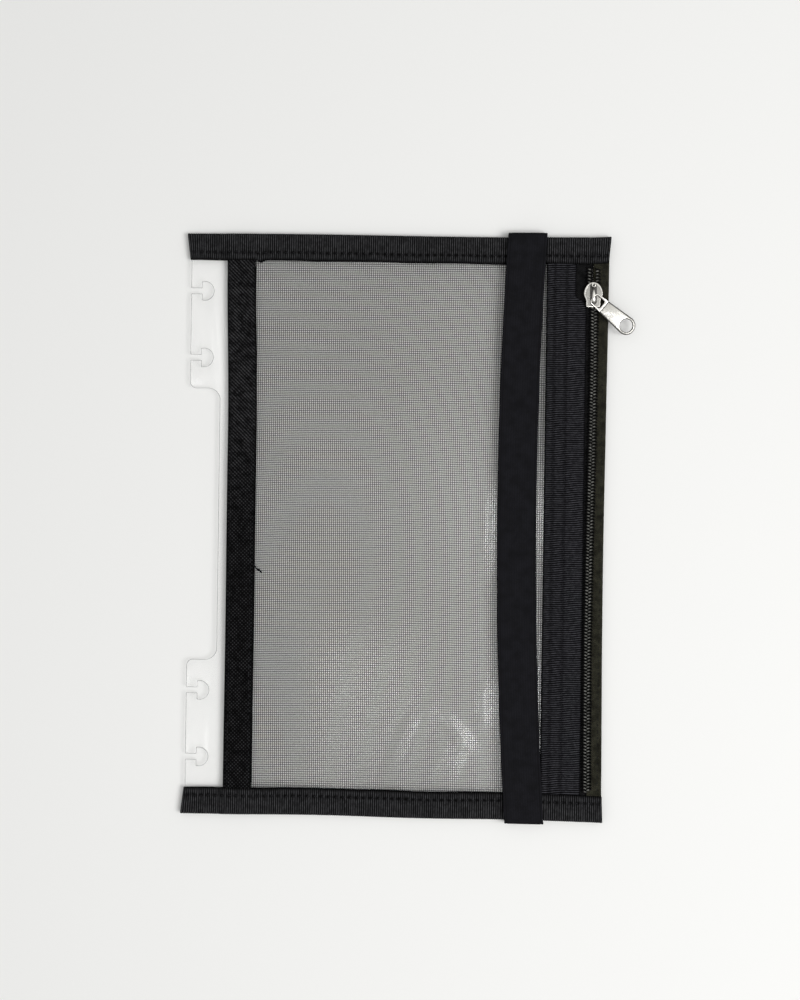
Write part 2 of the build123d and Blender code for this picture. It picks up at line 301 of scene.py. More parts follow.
@dataclass(frozen=True)
class Yarn(Finish):
    """Dyed yarn in a woven, twisted or knitted piece: painted shade in its gaps and a painted highlight on
    its crests.
    """

    highlight_colour: str
    patch: float
    fibre: tuple[float, float, float]
    fibre_height: float = 0.03
    sheen: float = 0.0
    shine: float = 0.02
    evenness: float = 0.15
    patchy_low: ClassVar[float] = 0.15
    patchy_high: ClassVar[float] = 0.34
    rough_spread: ClassVar[float] = 0.12
    fibre_strength: ClassVar[float] = 0.6
    sheen_roughness: ClassVar[float] = 0.45
    sheen_tint: ClassVar[str] = "#b9b9c0"

    def shader(self, tree: bpy.types.NodeTree) -> bpy.types.NodeSocket:
        """Build the shader: the crests of the weave get a painted highlight, patchy at random, and fibres
        roughen and raise the yarn.

        Args:
            tree: the material's node tree.

        Returns:
            The shader's output.
        """
        place = add_node(tree, "ShaderNodeTexCoord").outputs["Object"]
        stretch = tuple(1 / (size * MM) for size in self.fibre)
        along = add_node(tree, "ShaderNodeMapping", {"Scale": stretch}, {"Vector": place})
        fibres = add_node(
            tree, "ShaderNodeTexNoise", {"Scale": 1.0, "Detail": 3.0}, {"Vector": along.outputs[0]}
        )
        patches = add_node(
            tree,
            "ShaderNodeTexNoise",
            {"Scale": 1 / (self.patch * MM), "Detail": 2.0},
            {"Vector": place},
        )
        both = add_node(
            tree,
            "ShaderNodeMath",
            {"operation": "MULTIPLY"},
            {0: fibres.outputs[0], 1: patches.outputs[0]},
        )
        patchy = add_node(
            tree,
            "ShaderNodeMapRange",
            {"From Min": self.patchy_low, "From Max": self.patchy_high, "To Min": self.evenness},
            {"Value": both.outputs[0]},
        )
        crest = add_node(tree, "ShaderNodeAttribute", {"attribute_name": "crest"})
        share = add_node(
            tree,
            "ShaderNodeMath",
            {"operation": "MULTIPLY"},
            {0: patchy.outputs[0], 1: crest.outputs["Fac"]},
        )
        # Painted light: the crests take the lighter colour as a painted highlight and the gaps the dark one
        # as painted shade.
        colour = add_node(
            tree,
            "ShaderNodeMix",
            {"data_type": "RGBA", 6: linear(self.colour), 7: linear(self.highlight_colour)},
            {0: share.outputs[0]},
        )
        rough = add_node(
            tree,
            "ShaderNodeMapRange",
            {"To Min": self.roughness - self.rough_spread, "To Max": self.roughness + self.rough_spread},
            {"Value": fibres.outputs[0]},
        )
        bump = add_node(
            tree,
            "ShaderNodeBump",
            {"Strength": self.fibre_strength, "Distance": self.fibre_height * MM},
            {"Height": fibres.outputs[0]},
        )
        principled = add_node(
            tree,
            "ShaderNodeBsdfPrincipled",
            {
                "Specular IOR Level": self.shine,
                "Sheen Weight": self.sheen,
                "Sheen Roughness": self.sheen_roughness,
                "Sheen Tint": linear(self.sheen_tint),
            },
            {"Base Color": colour.outputs[2], "Roughness": rough.outputs[0], "Normal": bump.outputs[0]},
        )
        return principled.outputs[0]


@dataclass(frozen=True)
class ClearSheet(Finish):
    """Clear plastic sheet: see-through and a little hazy, and more of a mirror at a glancing angle."""

    haze: float
    head_on_mirror: float
    ripple: float
    ripple_height: float
    ripple_strength: ClassVar[float] = 0.5
    glance_power: ClassVar[float] = 5.0
    haze_roughness: ClassVar[float] = 0.9
    white: ClassVar[str] = "#ffffff"

    def shader(self, tree: bpy.types.NodeTree) -> bpy.types.NodeSocket:
        """Build the shader: see-through, a mirror by the angle of view, and a little white haze.

        Args:
            tree: the material's node tree.

        Returns:
            The shader's output.
        """
        place = add_node(tree, "ShaderNodeTexCoord").outputs["Object"]
        waves = add_node(
            tree,
            "ShaderNodeTexNoise",
            {"Scale": 1 / (self.ripple * MM), "Detail": 1.0},
            {"Vector": place},
        )
        bump = add_node(
            tree,
            "ShaderNodeBump",
            {"Strength": self.ripple_strength, "Distance": self.ripple_height * MM},
            {"Height": waves.outputs[0]},
        )
        facing = add_node(tree, "ShaderNodeLayerWeight", {"Blend": 0.5}, {"Normal": bump.outputs[0]})
        steep = add_node(
            tree,
            "ShaderNodeMath",
            {"operation": "POWER", 1: self.glance_power},
            {0: facing.outputs["Facing"]},
        )
        mirror_share = add_node(
            tree,
            "ShaderNodeMath",
            {"operation": "MULTIPLY_ADD", 1: 1 - self.head_on_mirror, 2: self.head_on_mirror},
            {0: steep.outputs[0]},
        )
        clear = add_node(tree, "ShaderNodeBsdfTransparent", {"Color": linear(self.white)})
        cloudy = add_node(
            tree,
            "ShaderNodeBsdfPrincipled",
            {"Base Color": linear(self.colour), "Roughness": self.haze_roughness},
        )
        body = add_node(
            tree, "ShaderNodeMixShader", {"Fac": self.haze}, {1: clear.outputs[0], 2: cloudy.outputs[0]}
        )
        mirror = add_node(
            tree,
            "ShaderNodeBsdfPrincipled",
            {"Base Color": linear(self.white), "Metallic": 1.0, "Roughness": self.roughness},
            {"Normal": bump.outputs[0]},
        )
        mixed = add_node(
            tree,
            "ShaderNodeMixShader",
            links={0: mirror_share.outputs[0], 1: body.outputs[0], 2: mirror.outputs[0]},
        )
        return mixed.outputs[0]


def seen_ray(tree: bpy.types.NodeTree) -> bpy.types.NodeSocket:
    """A socket that is 1 where the eye sees a thing straight, in a mirror or through a clear sheet.

    Args:
        tree: the node tree to add to.

    Returns:
        The socket.
    """
    rays = add_node(tree, "ShaderNodeLightPath").outputs
    seen = rays["Is Camera Ray"]
    for kind in ("Is Transmission Ray", "Is Glossy Ray"):
        either = add_node(tree, "ShaderNodeMath", {"operation": "MAXIMUM"}, {0: seen, 1: rays[kind]})
        seen = either.outputs[0]
    return seen


@dataclass(frozen=True)
class SweepPaper(Finish):
    """Matt studio paper: lit round the wallet, and far away it fades into the plain backdrop."""

    shine: float
    backdrop: str
    fade_start: float
    fade_end: float

    def shader(self, tree: bpy.types.NodeTree) -> bpy.types.NodeSocket:
        """Build the shader: matt paper, with the backdrop's colour taking over with distance.

        Args:
            tree: the material's node tree.

        Returns:
            The shader's output.
        """
        place = add_node(tree, "ShaderNodeTexCoord").outputs["Object"]
        away = add_node(tree, "ShaderNodeVectorMath", {"operation": "LENGTH"}, {0: place})
        fade = add_node(
            tree,
            "ShaderNodeMapRange",
            {
                "interpolation_type": "SMOOTHSTEP",
                "From Min": self.fade_start * MM,
                "From Max": self.fade_end * MM,
            },
            {"Value": away.outputs["Value"]},
        )
        share = add_node(
            tree, "ShaderNodeMath", {"operation": "MULTIPLY"}, {0: fade.outputs[0], 1: seen_ray(tree)}
        )
        paper = add_node(
            tree,
            "ShaderNodeBsdfPrincipled",
            {
                "Base Color": linear(self.colour),
                "Roughness": self.roughness,
                "Specular IOR Level": self.shine,
            },
        )
        plain = add_node(tree, "ShaderNodeEmission", {"Color": linear(self.backdrop)})
        mixed = add_node(
            tree,
            "ShaderNodeMixShader",
            links={0: share.outputs[0], 1: paper.outputs[0], 2: plain.outputs[0]},
        )
        return mixed.outputs[0]


@dataclass(frozen=True)
class PlatedMetal(Finish):
    """Plated casting: bright faces with soft dents and dull spots, and its edges and walls painted dark as
    shade.
    """

    dull_colour: str
    shade_colour: str
    dent: float
    dent_height: float
    spot: float
    dull_low: ClassVar[float] = 0.5
    dull_high: ClassVar[float] = 0.72
    dull_roughness: ClassVar[float] = 0.22
    dent_strength: ClassVar[float] = 0.7

    def shader(self, tree: bpy.types.NodeTree) -> bpy.types.NodeSocket:
        """Build the shader: dull spots on bright plate, painted shade on edges, and dents that bend its
        reflections.

        Args:
            tree: the material's node tree.

        Returns:
            The shader's output.
        """
        place = add_node(tree, "ShaderNodeTexCoord").outputs["Object"]
        spots = add_node(
            tree, "ShaderNodeTexNoise", {"Scale": 1 / (self.spot * MM), "Detail": 4.0}, {"Vector": place}
        )
        dull = add_node(
            tree,
            "ShaderNodeMapRange",
            {"From Min": self.dull_low, "From Max": self.dull_high},
            {"Value": spots.outputs[0]},
        )
        plate = add_node(
            tree,
            "ShaderNodeMix",
            {"data_type": "RGBA", 6: linear(self.colour), 7: linear(self.dull_colour)},
            {0: dull.outputs[0]},
        )
        crest = add_node(tree, "ShaderNodeAttribute", {"attribute_name": "crest"})
        # Painted shade: where the crest falls, on edges and walls, the plate turns to the dark shade colour.
        colour = add_node(
            tree,
            "ShaderNodeMix",
            {"data_type": "RGBA", 6: linear(self.shade_colour)},
            {0: crest.outputs["Fac"], 7: plate.outputs[2]},
        )
        rough = add_node(
            tree,
            "ShaderNodeMapRange",
            {"To Min": self.roughness, "To Max": self.roughness + self.dull_roughness},
            {"Value": dull.outputs[0]},
        )
        dents = add_node(
            tree, "ShaderNodeTexNoise", {"Scale": 1 / (self.dent * MM), "Detail": 2.0}, {"Vector": place}
        )
        bump = add_node(
            tree,
            "ShaderNodeBump",
            {"Strength": self.dent_strength, "Distance": self.dent_height * MM},
            {"Height": dents.outputs[0]},
        )
        principled = add_node(
            tree,
            "ShaderNodeBsdfPrincipled",
            {"Metallic": 1.0},
            {"Base Color": colour.outputs[2], "Roughness": rough.outputs[0], "Normal": bump.outputs[0]},
        )
        return principled.outputs[0]


# Polyester grosgrain: tight fine warp over thick weft cords gives crisp ribs, each with a painted highlight,
# and painted shade in the lines between.
# The warp threads are a fifth of a millimetre, too fine to show, so they are drawn at twice that.
GROSGRAIN = Yarn(
    "polyester_grosgrain", "#020202", 0.7, "#48484a", patch=1.8, fibre=(0.4, 1.2, 0.4), evenness=0.45
)
# Facing ribbon: the same weave with its ribs the other way.
FACING_GROSGRAIN = Yarn(
    "polyester_grosgrain_facing", "#020203", 0.7, "#454549", patch=1.6, fibre=(1.0, 0.4, 0.4), evenness=0.45
)
# Cotton-blend twill tape: matt, with diagonal lines of short floats that catch a little light in their
# relief and carry a painted highlight.
TWILL = Yarn("woven_twill_tape", "#010101", 0.8, "#4b4b4d", patch=2.5, fibre=(0.5, 0.5, 0.5))
# Zip tape on the left: a finer and flatter weave in a deep, even black, painted darker than the right tape
# as the shade beside the coil.
ZIP_WEAVE_SHADED = Yarn(
    "woven_zip_tape",
    "#040404",
    0.75,
    "#29292a",
    patch=3.0,
    fibre=(0.35, 0.5, 0.35),
    fibre_height=0.025,
    shine=0.03,
)
# The same tape on the right, where it turns round the edge to the light: painted lighter as its lit copy, in
# a slightly olive black.
ZIP_WEAVE_LIT = Yarn(
    "woven_zip_tape_edge",
    "#10100c",
    0.75,
    "#4a493d",
    patch=3.0,
    fibre=(0.35, 0.5, 0.35),
    fibre_height=0.025,
    shine=0.03,
)
# Knitted elastic: fine loops over rubber threads give a dense, even, slightly blue black.
ELASTIC = Yarn(
    "knitted_elastic",
    "#111113",
    0.8,
    "#1c1c20",
    patch=4.0,
    fibre=(0.3, 0.5, 0.3),
    fibre_height=0.02,
    sheen=0.02,
    shine=0.04,
)
# Spun sewing thread: a soft, slightly hairy line with its twist just visible.
THREAD = Yarn(
    "spun_polyester_thread",
    "#09090a",
    0.7,
    "#232325",
    patch=1.5,
    fibre=(0.3, 0.3, 0.3),
    sheen=0.02,
    shine=0.04,
)
# Net yarn: stiff polyester monofilament, dark with a thin shine along each thread.
NET_YARN = Yarn(
    "polyester_net_yarn",
    "#0e0e0f",
    0.5,
    "#222223",
    patch=8.0,
    fibre=(0.3, 0.3, 0.3),
    fibre_height=0.01,
    shine=0.2,
)
# Nylon filament: black, with a painted highlight on top of each loop's head, so each loop shows as a pale
# dot.
COIL_NYLON = Yarn(
    "nylon_coil_filament",
    "#030303",
    0.35,
    "#84847f",
    patch=2.0,
    fibre=(0.4, 0.4, 0.4),
    fibre_height=0.01,
    shine=0.05,
)
# Clear vinyl film: limp and shiny, seen mostly by the soft bright patches where it turns to the light.
FILM = ClearSheet(
    "clear_vinyl_film", "#f4f4f3", 0.16, haze=0.01, head_on_mirror=0.06, ripple=14.0, ripple_height=0.02
)
# Clear polypropylene sheet: stiffer and a little cloudy, almost lost on a white table.
STRIP = ClearSheet(
    "clear_polypropylene_sheet",
    "#ffffff",
    0.18,
    haze=0.008,
    head_on_mirror=0.014,
    ripple=20.0,
    ripple_height=0.02,
)
# Die-cut polypropylene edge: scattered light makes the thin wall of a clear sheet look grey.
CUT_EDGE = ClearSheet(
    "cut_polypropylene_edge", "#7c7f7e", 0.35, haze=0.6, head_on_mirror=0.05, ripple=0.6, ripple_height=0.02
)
# Nickel-plated zinc casting: pale warm-grey metal, bright on its faces, and painted dark along edges and
# hollows as shade.
NICKEL = PlatedMetal(
    "nickel_plated_zinc",
    "#dedcd7",
    0.2,
    dull_colour="#a8a59f",
    shade_colour="#1b1a19",
    dent=0.7,
    dent_height=0.04,
    spot=0.6,
)
# Matt studio paper: an even off-white that scatters the light, with no grain to see.
TABLE = SweepPaper(
    "matt_studio_paper", "#f0f0ee", 0.8, shine=0.2, backdrop="#f4f4f2", fade_start=260.0, fade_end=560.0
)


def dress(piece: bpy.types.Object, finish: Finish, body: Body, node: str) -> None:
    """Give a piece its finish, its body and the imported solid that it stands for.

    Args:
        piece: the piece.
        finish: its finish.
        body: the body that it moves with.
        node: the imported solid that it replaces.
    """
    piece.data.materials.clear()
    piece.data.materials.append(finish.material())
    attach(piece, body.value)
    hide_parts(node)
    LOG.info("%s: %d faces, rides on %s", piece.name, len(piece.data.polygons), body.value)


def in_metres(*sizes: float) -> tuple[float, ...]:
    """Turn sizes in millimetres into metres."""
    return tuple(size * MM for size in sizes)


@dataclass(frozen=True)
class Stitching:
    """Rows of lockstitches: short, soft grains of thread whose ends dive into the cloth."""

    pitch: float = 2.7
    length: float = 1.5
    length_spread: float = 0.04
    thickness: float = 0.36
    end_taper: float = 0.7
    lift: float = 0.06
    dive: float = 0.28
    wander: float = 0.06
    rings: int = 7
    sides: int = 6

    def row(
        self,
        start: tuple[float, float],
        end: tuple[float, float],
        height: Callable[[np.ndarray], np.ndarray],
        seed: int,
    ) -> Shape:
        """Lay stitches from one place to another.

        Args:
            start: X and Y of the row's start.
            end: X and Y of its end.
            height: the cloth's height at each X.
            seed: which run of small differences the row takes.

        Returns:
            The stitches as one shape.
        """
        chance = np.random.default_rng(seed)
        way = np.array(end, float) - np.array(start, float)
        total = float(np.hypot(*way))
        way /= total
        across = np.array([-way[1], way[0]])
        count = int(total / self.pitch)
        middles = (np.arange(count) + 0.5) * total / count
        t = np.linspace(-1, 1, self.rings)
        turn = np.linspace(0, 2 * np.pi, self.sides, endpoint=False)
        radius = self.thickness / 2 * np.sqrt(1 - self.end_taper * t**4)
        drift = chance.normal(0, self.wander, (count, 2))
        stretch = chance.normal(1, self.length_spread, count)
        along = middles[:, None] + t * self.length / 2 * stretch[:, None]
        aside = drift[:, :1] + drift[:, 1:] * t
        centre = np.array(start) + along[..., None] * way + aside[..., None] * across
        level = height(centre[..., 0]) + self.lift - self.dive * t**4
        ring_aside = radius[:, None] * np.cos(turn)
        ring_up = radius[:, None] * np.sin(turn)
        flat = centre[:, :, None, :] + ring_aside[None, :, :, None] * across
        points = np.concatenate([flat, (level[:, :, None] + ring_up)[..., None]], axis=-1)
        return Shape.joined([swept(stitch, paired=False) for stitch in points])


@dataclass(frozen=True)
class Layers:
    """The heights of the layers that the bindings lie over."""

    slope: float = 1.0
    ease: float = 0.45
    ease_steps: int = 5

    def top(self, x: np.ndarray) -> np.ndarray:
        """The height of the topmost layer at each X, with soft slopes over the steps.

        Args:
            x: places across the wallet.

        Returns:
            The heights there.
        """
        strip, tape, mesh = map(Extent.of, ("binder_strip", "side_tape_front", "front_mesh"))
        facing, zip_tape = Extent.of("zip_facing"), Extent.of("zip_tape_right")
        steps = [
            (tape.x_low - self.slope, strip.z_high),
            (tape.x_low, tape.z_high),
            (tape.x_high, tape.z_high),
            (tape.x_high + self.slope, mesh.z_high),
            (facing.x_low - self.slope, mesh.z_high),
            (facing.x_low, facing.z_high),
            (facing.x_high, facing.z_high),
            (facing.x_high + self.slope, zip_tape.z_high),
        ]
        places, heights = zip(*steps)
        shifts = np.linspace(-self.ease, self.ease, self.ease_steps)
        return np.mean([np.interp(x + shift, places, heights) for shift in shifts], axis=0)


def fold_path(front: Sequence[float], back: Sequence[float], bulge: float, steps: int) -> np.ndarray:
    """The outer line of a ribbon that is folded in half, for heights from -1 to 1.

    Args:
        front: distances in from the fold along the front, the largest first.
        back: distances in from the fold along the back, the smallest first.
        bulge: how far the round of the fold reaches.
        steps: how many points the round has.

    Returns:
        For each point: distance in from the fold, height, and the way out there as two numbers.
    """
    turn = np.linspace(np.pi / 2, -np.pi / 2, steps)
    flat_front = [(distance, 1.0, 0.0, 1.0) for distance in front]
    flat_back = [(distance, -1.0, 0.0, -1.0) for distance in back]
    rounded = [(bulge * (1 - math.cos(a)), math.sin(a), math.cos(a), math.sin(a)) for a in turn]
    return np.array(flat_front + rounded + flat_back)


@dataclass
class EdgeBinding:
    """A grosgrain ribbon folded over the top or bottom edge, and the stitches that hold it."""

    edge: Edge
    seed: int
    rib_pitch: float = 0.82
    rib_depth: float = 0.2
    steps_per_rib: int = 6
    thickness: float = 0.4
    fold_bulge: float = 0.75
    fold_steps: int = 8
    selvedge: float = 0.2
    selvedge_inner: float = 1.2
    selvedge_roll: float = 0.12
    roll_width: float = 0.15
    front_columns: tuple[float, ...] = (5.5, 3.5, 1.6)
    back_columns: tuple[float, ...] = (1.6, 5.0)
    seam_columns: tuple[float, ...] = (1.6, 0.8, 0, -0.8, -1.6)
    seam_inset: float = 3.0
    seam_width: float = 0.5
    seam_dip: float = 0.13
    seam_light: float = 0.55
    end_lean: float = 0.6
    lean_reach: float = 3.0
    left_flare: float = 0.65
    top_right_flare: float = 0.3
    bottom_right_flare: float = -0.25
    shrink: float = 0.967
    ragged: float = 0.1
    ragged_run: float = 5.3
    rib_ragged: float = 0.06
    corner_fold: float = 0.9
    corner_width: float = 1.1
    corner_x: float = -57.2
    top_stray: float = 0.85
    top_stray_span: tuple[float, float] = (-55, 35)
    top_right_stray: float = 0.4
    bottom_stray: float = 0.4
    bottom_wave: float = 0.17
    bottom_wave_start: float = 6.5
    bottom_wave_run: float = 12
    bottom_left_stray: float = 0.38
    bottom_right_stray: float = 0.15
    left_reach: float = 15
    right_reach: float = 5

    def build(self, layers: Layers, stitching: Stitching) -> None:
        """Build and dress the ribbon and its stitches.

        Args:
            layers: the layers under the ribbon.
            stitching: the kind of stitch.
        """
        name = f"{self.edge.name.lower()}_binding"
        box = Extent.of(name)
        depth = box.y_high - box.y_low
        rings, crest = self.sections(box, depth, layers, stitching.pitch)
        ribbon = swept(rings, paired=True, crest=crest).piece(f"{name}_ribbon")
        dress(ribbon, GROSGRAIN, Body.WALLET, name)
        seam_y = max(abs(box.y_low), abs(box.y_high)) - (depth - self.seam_inset) * self.shrink
        row = stitching.row(
            (box.x_low + self.end_lean, seam_y),
            (box.x_high - self.end_lean, seam_y),
            lambda x: layers.top(x) + self.thickness - self.seam_dip,
            self.seed,
        )
        row.points[:, 1] = self.edge.value * (row.points[:, 1] + self.drift(row.points[:, 0], box))
        stitches = row.piece(f"{name}_stitches")
        dress(stitches, THREAD, Body.WALLET, f"{name}_thread")

    def drift(self, x: np.ndarray, box: Extent) -> np.ndarray:
        """How far the sewn edge strays outward from a straight line.

        Args:
            x: places along the edge.
            box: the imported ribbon's box.

        Returns:
            The distances there.
        """
        right = np.exp(-(box.x_high - x) / self.right_reach)
        if self.edge is Edge.TOP:
            return self.top_stray * (1 - smooth(x, *self.top_stray_span)) + self.top_right_stray * right
        left = np.exp(-(x - box.x_low) / self.left_reach)
        wave = self.bottom_wave * np.cos((x - self.bottom_wave_start) / self.bottom_wave_run)
        return self.bottom_stray + wave + self.bottom_left_stray * left + self.bottom_right_stray * right

    def sections(
        self, box: Extent, depth: float, layers: Layers, stitch_pitch: float
    ) -> tuple[np.ndarray, np.ndarray]:
        """Work out the ribbon's rings of points, one at each step along it.

        Args:
            box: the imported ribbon's box.
            depth: how far the ribbon reaches in from the edge.
            layers: the layers under the ribbon.
            stitch_pitch: the length of the puckers that the stitches pull.

        Returns:
            Points by step, place in the ring and axis, and how near each is to a rib's crest.
        """
        steps = round((box.x_high - box.x_low) / self.rib_pitch) * self.steps_per_rib
        x = np.linspace(box.x_low, box.x_high, steps + 1)[:, None]
        seam = depth - self.seam_inset
        beside_seam = [seam + self.seam_width * share for share in self.seam_columns]
        selvedge = [depth, depth - self.selvedge, depth - self.selvedge_inner]
        front = [*selvedge, *beside_seam, *self.front_columns]
        back = [*self.back_columns, depth - self.selvedge, depth]
        path = fold_path(front, back, self.fold_bulge, self.fold_steps)
        inward, height, out_y, out_z = path.T
        top = layers.top(x) + self.thickness
        middle = (top + box.z_low) / 2
        z = middle + height * (top - box.z_low) / 2
        ribs = self.rib_depth * (ridge((x - box.x_low) / self.rib_pitch) - 1)
        from_stitch = x - box.x_low - self.end_lean - stitch_pitch / 2
        pucker = 0.5 + 0.5 * np.cos(2 * np.pi * from_stitch / stitch_pitch)
        beside = np.exp(-(((inward - seam) / self.seam_width) ** 2))
        groove = -self.seam_dip * pucker * beside * (height > FLAT_SHARE)
        rolled = -self.selvedge_roll * np.exp(-(depth - inward) / self.roll_width)
        raised = ribs + groove + rolled
        ragged = self.ragged * np.sin(x / self.ragged_run + self.seed)
        ragged = ragged + self.rib_ragged * ribs / self.rib_depth
        if self.edge is Edge.TOP:
            ragged = ragged - self.corner_fold * np.exp(-(((x - self.corner_x) / self.corner_width) ** 2))
        y_out = max(abs(box.y_low), abs(box.y_high))
        edge_share = inward / depth
        y = y_out - inward * self.shrink + self.drift(x, box) + ragged * edge_share
        near_left = np.exp(-(x - box.x_low) / self.lean_reach)
        near_right = np.exp(-(box.x_high - x) / self.lean_reach)
        right_flare = self.top_right_flare if self.edge is Edge.TOP else self.bottom_right_flare
        lean = self.end_lean * edge_share
        x_leant = x + near_left * (lean - self.left_flare * (1 - edge_share))
        x_leant = x_leant - near_right * (lean - right_flare * (1 - edge_share))
        outer = np.stack([x_leant, y + out_y * raised, z + out_z * raised], axis=-1)
        inner = np.stack([x_leant, y - out_y * self.thickness, z - out_z * self.thickness], axis=-1)
        ring = np.concatenate([outer, inner[:, ::-1]], axis=1)
        ring[..., 1] *= self.edge.value
        # Painted light: rib crests get a painted highlight, and valleys, the rolled selvedge and the stitch
        # puckers painted shade, lessened in the puckers by seam_light.
        crest = crest_share(raised - self.seam_light * groove, self.rib_depth)
        return ring, np.concatenate([crest, np.zeros_like(crest)], axis=1)


@dataclass
class FlatTape:
    """A woven tape that lies flat, with its weave as relief on one face."""

    node: str
    name: str
    relief: Relief
    depth: float
    columns: np.ndarray
    step: float
    trim: Callable[[np.ndarray], np.ndarray] = np.zeros_like
    bend: Callable[[np.ndarray], np.ndarray] = np.zeros_like
    overlap: float = 0.8
    face: Face = Face.UP
    wander: float = 0.12
    wander_run: float = 23
    wander_swell: float = 61
    roll: float = 0.1
    roll_width: float = 0.15
    plain_columns: int = 3

    def build(self, finish: Finish, slot: str) -> None:
        """Build and dress the tape.

        Args:
            finish: the tape's finish.
            slot: the record's material slot; not used.
        """
        box = Extent.of(self.node)
        y_low, y_high = box.y_low + self.overlap, box.y_high - self.overlap
        y = np.linspace(y_low, y_high, round((y_high - y_low) / self.step) + 1)[:, None]
        width = self.columns[-1] - self.columns[0]
        x = self.columns[0] + (self.columns - self.columns[0]) * (1 - self.trim(y) / width)
        sway = self.wander * np.sin(y / self.wander_run + box.x_low) * np.sin(y / self.wander_swell)
        from_left = np.exp(-(x - x[:, :1]) / self.roll_width)
        from_right = np.exp(-(x[:, -1:] - x) / self.roll_width)
        woven = self.relief(x, y) - self.roll * (from_left + from_right)
        x_plain = np.linspace(x[:, -1], x[:, 0], self.plain_columns, axis=1)
        z_woven, z_plain = box.z_high + woven, np.full_like(x_plain, box.z_low)
        if self.face is Face.DOWN:
            z_woven, z_plain = box.z_low - woven, np.full_like(x_plain, box.z_high)
        ring_x = np.concatenate([x, x_plain], axis=1) + sway + self.bend(y)
        ring_y = np.broadcast_to(y, ring_x.shape)
        ring_z = np.concatenate([z_woven, z_plain], axis=1)
        # Painted light: the weave's crests get a painted highlight, and its valleys and rolled edges painted
        # shade.
        crest = np.concatenate([crest_share(woven, self.depth), np.zeros_like(x_plain)], axis=1)
        rings = np.stack([ring_x, ring_y, ring_z], axis=-1)
        piece = swept(rings, paired=False, crest=crest).piece(self.name)
        dress(piece, finish, Body.WALLET, self.node)


@dataclass
class SideTape:
    """The twill tape over the join of strip and mesh, front and back, its seams and a loose thread end."""

    rib: float = 1.4
    rib_depth: float = 0.2
    column: float = 0.2
    step: float = 0.22
    least_break: float = 0.03
    more_break: float = 0.12
    break_span: tuple[float, float] = (-45, 20)
    seam_inset: float = 1.4
    seam_sink: float = 0.1
    first_seed: int = 31
    stray: float = 0.85
    stray_span: tuple[float, float] = (35, 95)
    loose_y: float = -15.2
    loose_inset: float = 0.9
    loose_run: float = 3.8
    loose_drop: float = 3.3
    loose_curl: float = 0.25
    loose_lift: float = 0.1
    loose_sink: float = 0.25
    loose_arch: float = 0.15
    loose_thickness: float = 0.48
    loose_steps: int = 12
    loose_sides: int = 6
    loose_side_way: tuple[float, float] = (0.6, 0.8)
    knot_place: float = 0.72
    knot_reach: float = 0.14
    knot_swell: float = 0.8

    def twill(self, x: np.ndarray, y: np.ndarray) -> np.ndarray:
        """Relief of the twill: diagonal lines, which break into a lattice of short floats further down."""
        lines = ridge((x + y) / self.rib)
        broken = self.least_break + self.more_break * smooth(-y, *self.break_span)
        floats = 1 - broken + broken * np.cos(2 * np.pi * (x - y) / self.rib)
        return self.rib_depth * (lines * floats - 1)

    def bend(self, y: np.ndarray) -> np.ndarray:
        """How far the sewn tape strays to the right of a straight line at each Y."""
        return self.stray * (1 - smooth(y, *self.stray_span))

    def build(self, stitching: Stitching) -> None:
        """Build and dress both tapes, the seams and the loose end.

        Args:
            stitching: the kind of stitch.
        """
        for node, face in (("side_tape_front", Face.UP), ("side_tape_back", Face.DOWN)):
            box = Extent.of(node)
            count = round((box.x_high - box.x_low) / self.column) + 1
            columns = np.linspace(box.x_low, box.x_high, count)
            tape = FlatTape(
                node,
                f"{node}_twill",
                self.twill,
                self.rib_depth,
                columns,
                self.step,
                bend=self.bend,
                face=face,
            )
            tape.build(TWILL, "twill_tape")
        box, thread = Extent.of("side_tape_front"), Extent.of("side_tape_thread")
        seams = (box.x_low + self.seam_inset, box.x_high - self.seam_inset)
        rows = [
            stitching.row(
                (x, thread.y_low),
                (x, thread.y_high),
                lambda at: np.full(at.shape, box.z_high - self.seam_sink),
                seed,
            )
            for seed, x in enumerate(seams, self.first_seed)
        ]
        stitches = Shape.joined([*rows, self.loose_end(box)])
        stitches.points[:, 0] += self.bend(stitches.points[:, 1])
        dress(stitches.piece("side_tape_stitches"), THREAD, Body.WALLET, "side_tape_thread")

    def loose_end(self, tape: Extent) -> Shape:
        """A short end of thread that the machine left, lying from the tape's edge onto the mesh.

        Args:
            tape: the front tape's box.

        Returns:
            The thread end's shape.
        """
        t = np.linspace(0, 1, self.loose_steps)[:, None]
        x = tape.x_high - self.loose_inset + self.loose_run * t
        y = self.loose_y - self.loose_drop * t**1.3 + self.loose_curl * np.sin(9 * t)
        z = tape.z_high + self.loose_lift - self.loose_sink * t + self.loose_arch * np.sin(np.pi * t)
        knot = self.knot_swell * np.exp(-(((t - self.knot_place) / self.knot_reach) ** 2))
        radius = self.loose_thickness / 2 * (1 + knot)
        turn = np.linspace(0, 2 * np.pi, self.loose_sides, endpoint=False)
        aside, up = radius * np.cos(turn), radius * np.sin(turn)
        way_x, way_y = self.loose_side_way
        return swept(np.stack([x + way_x * aside, y + way_y * aside, z + up], axis=-1), paired=False)


@dataclass(frozen=True)
class Crease:
    """A soft ridge in the film: its middle, its way in degrees, and how far, wide and high it reaches."""

    x: float
    y: float
    turn: float
    reach: float
    width: float
    height: float

    def lift(self, x: np.ndarray, y: np.ndarray) -> np.ndarray:
        """How high the ridge stands.

        Args:
            x: places across.
            y: places up.

        Returns:
            The heights there.
        """
        way = math.radians(self.turn)
        along = (x - self.x) * math.cos(way) + (y - self.y) * math.sin(way)
        aside = (y - self.y) * math.cos(way) - (x - self.x) * math.sin(way)
        across = np.clip(1 - np.abs(aside) / self.width, 0, 1)
        return self.height * across * np.exp(-((along / self.reach) ** 4))


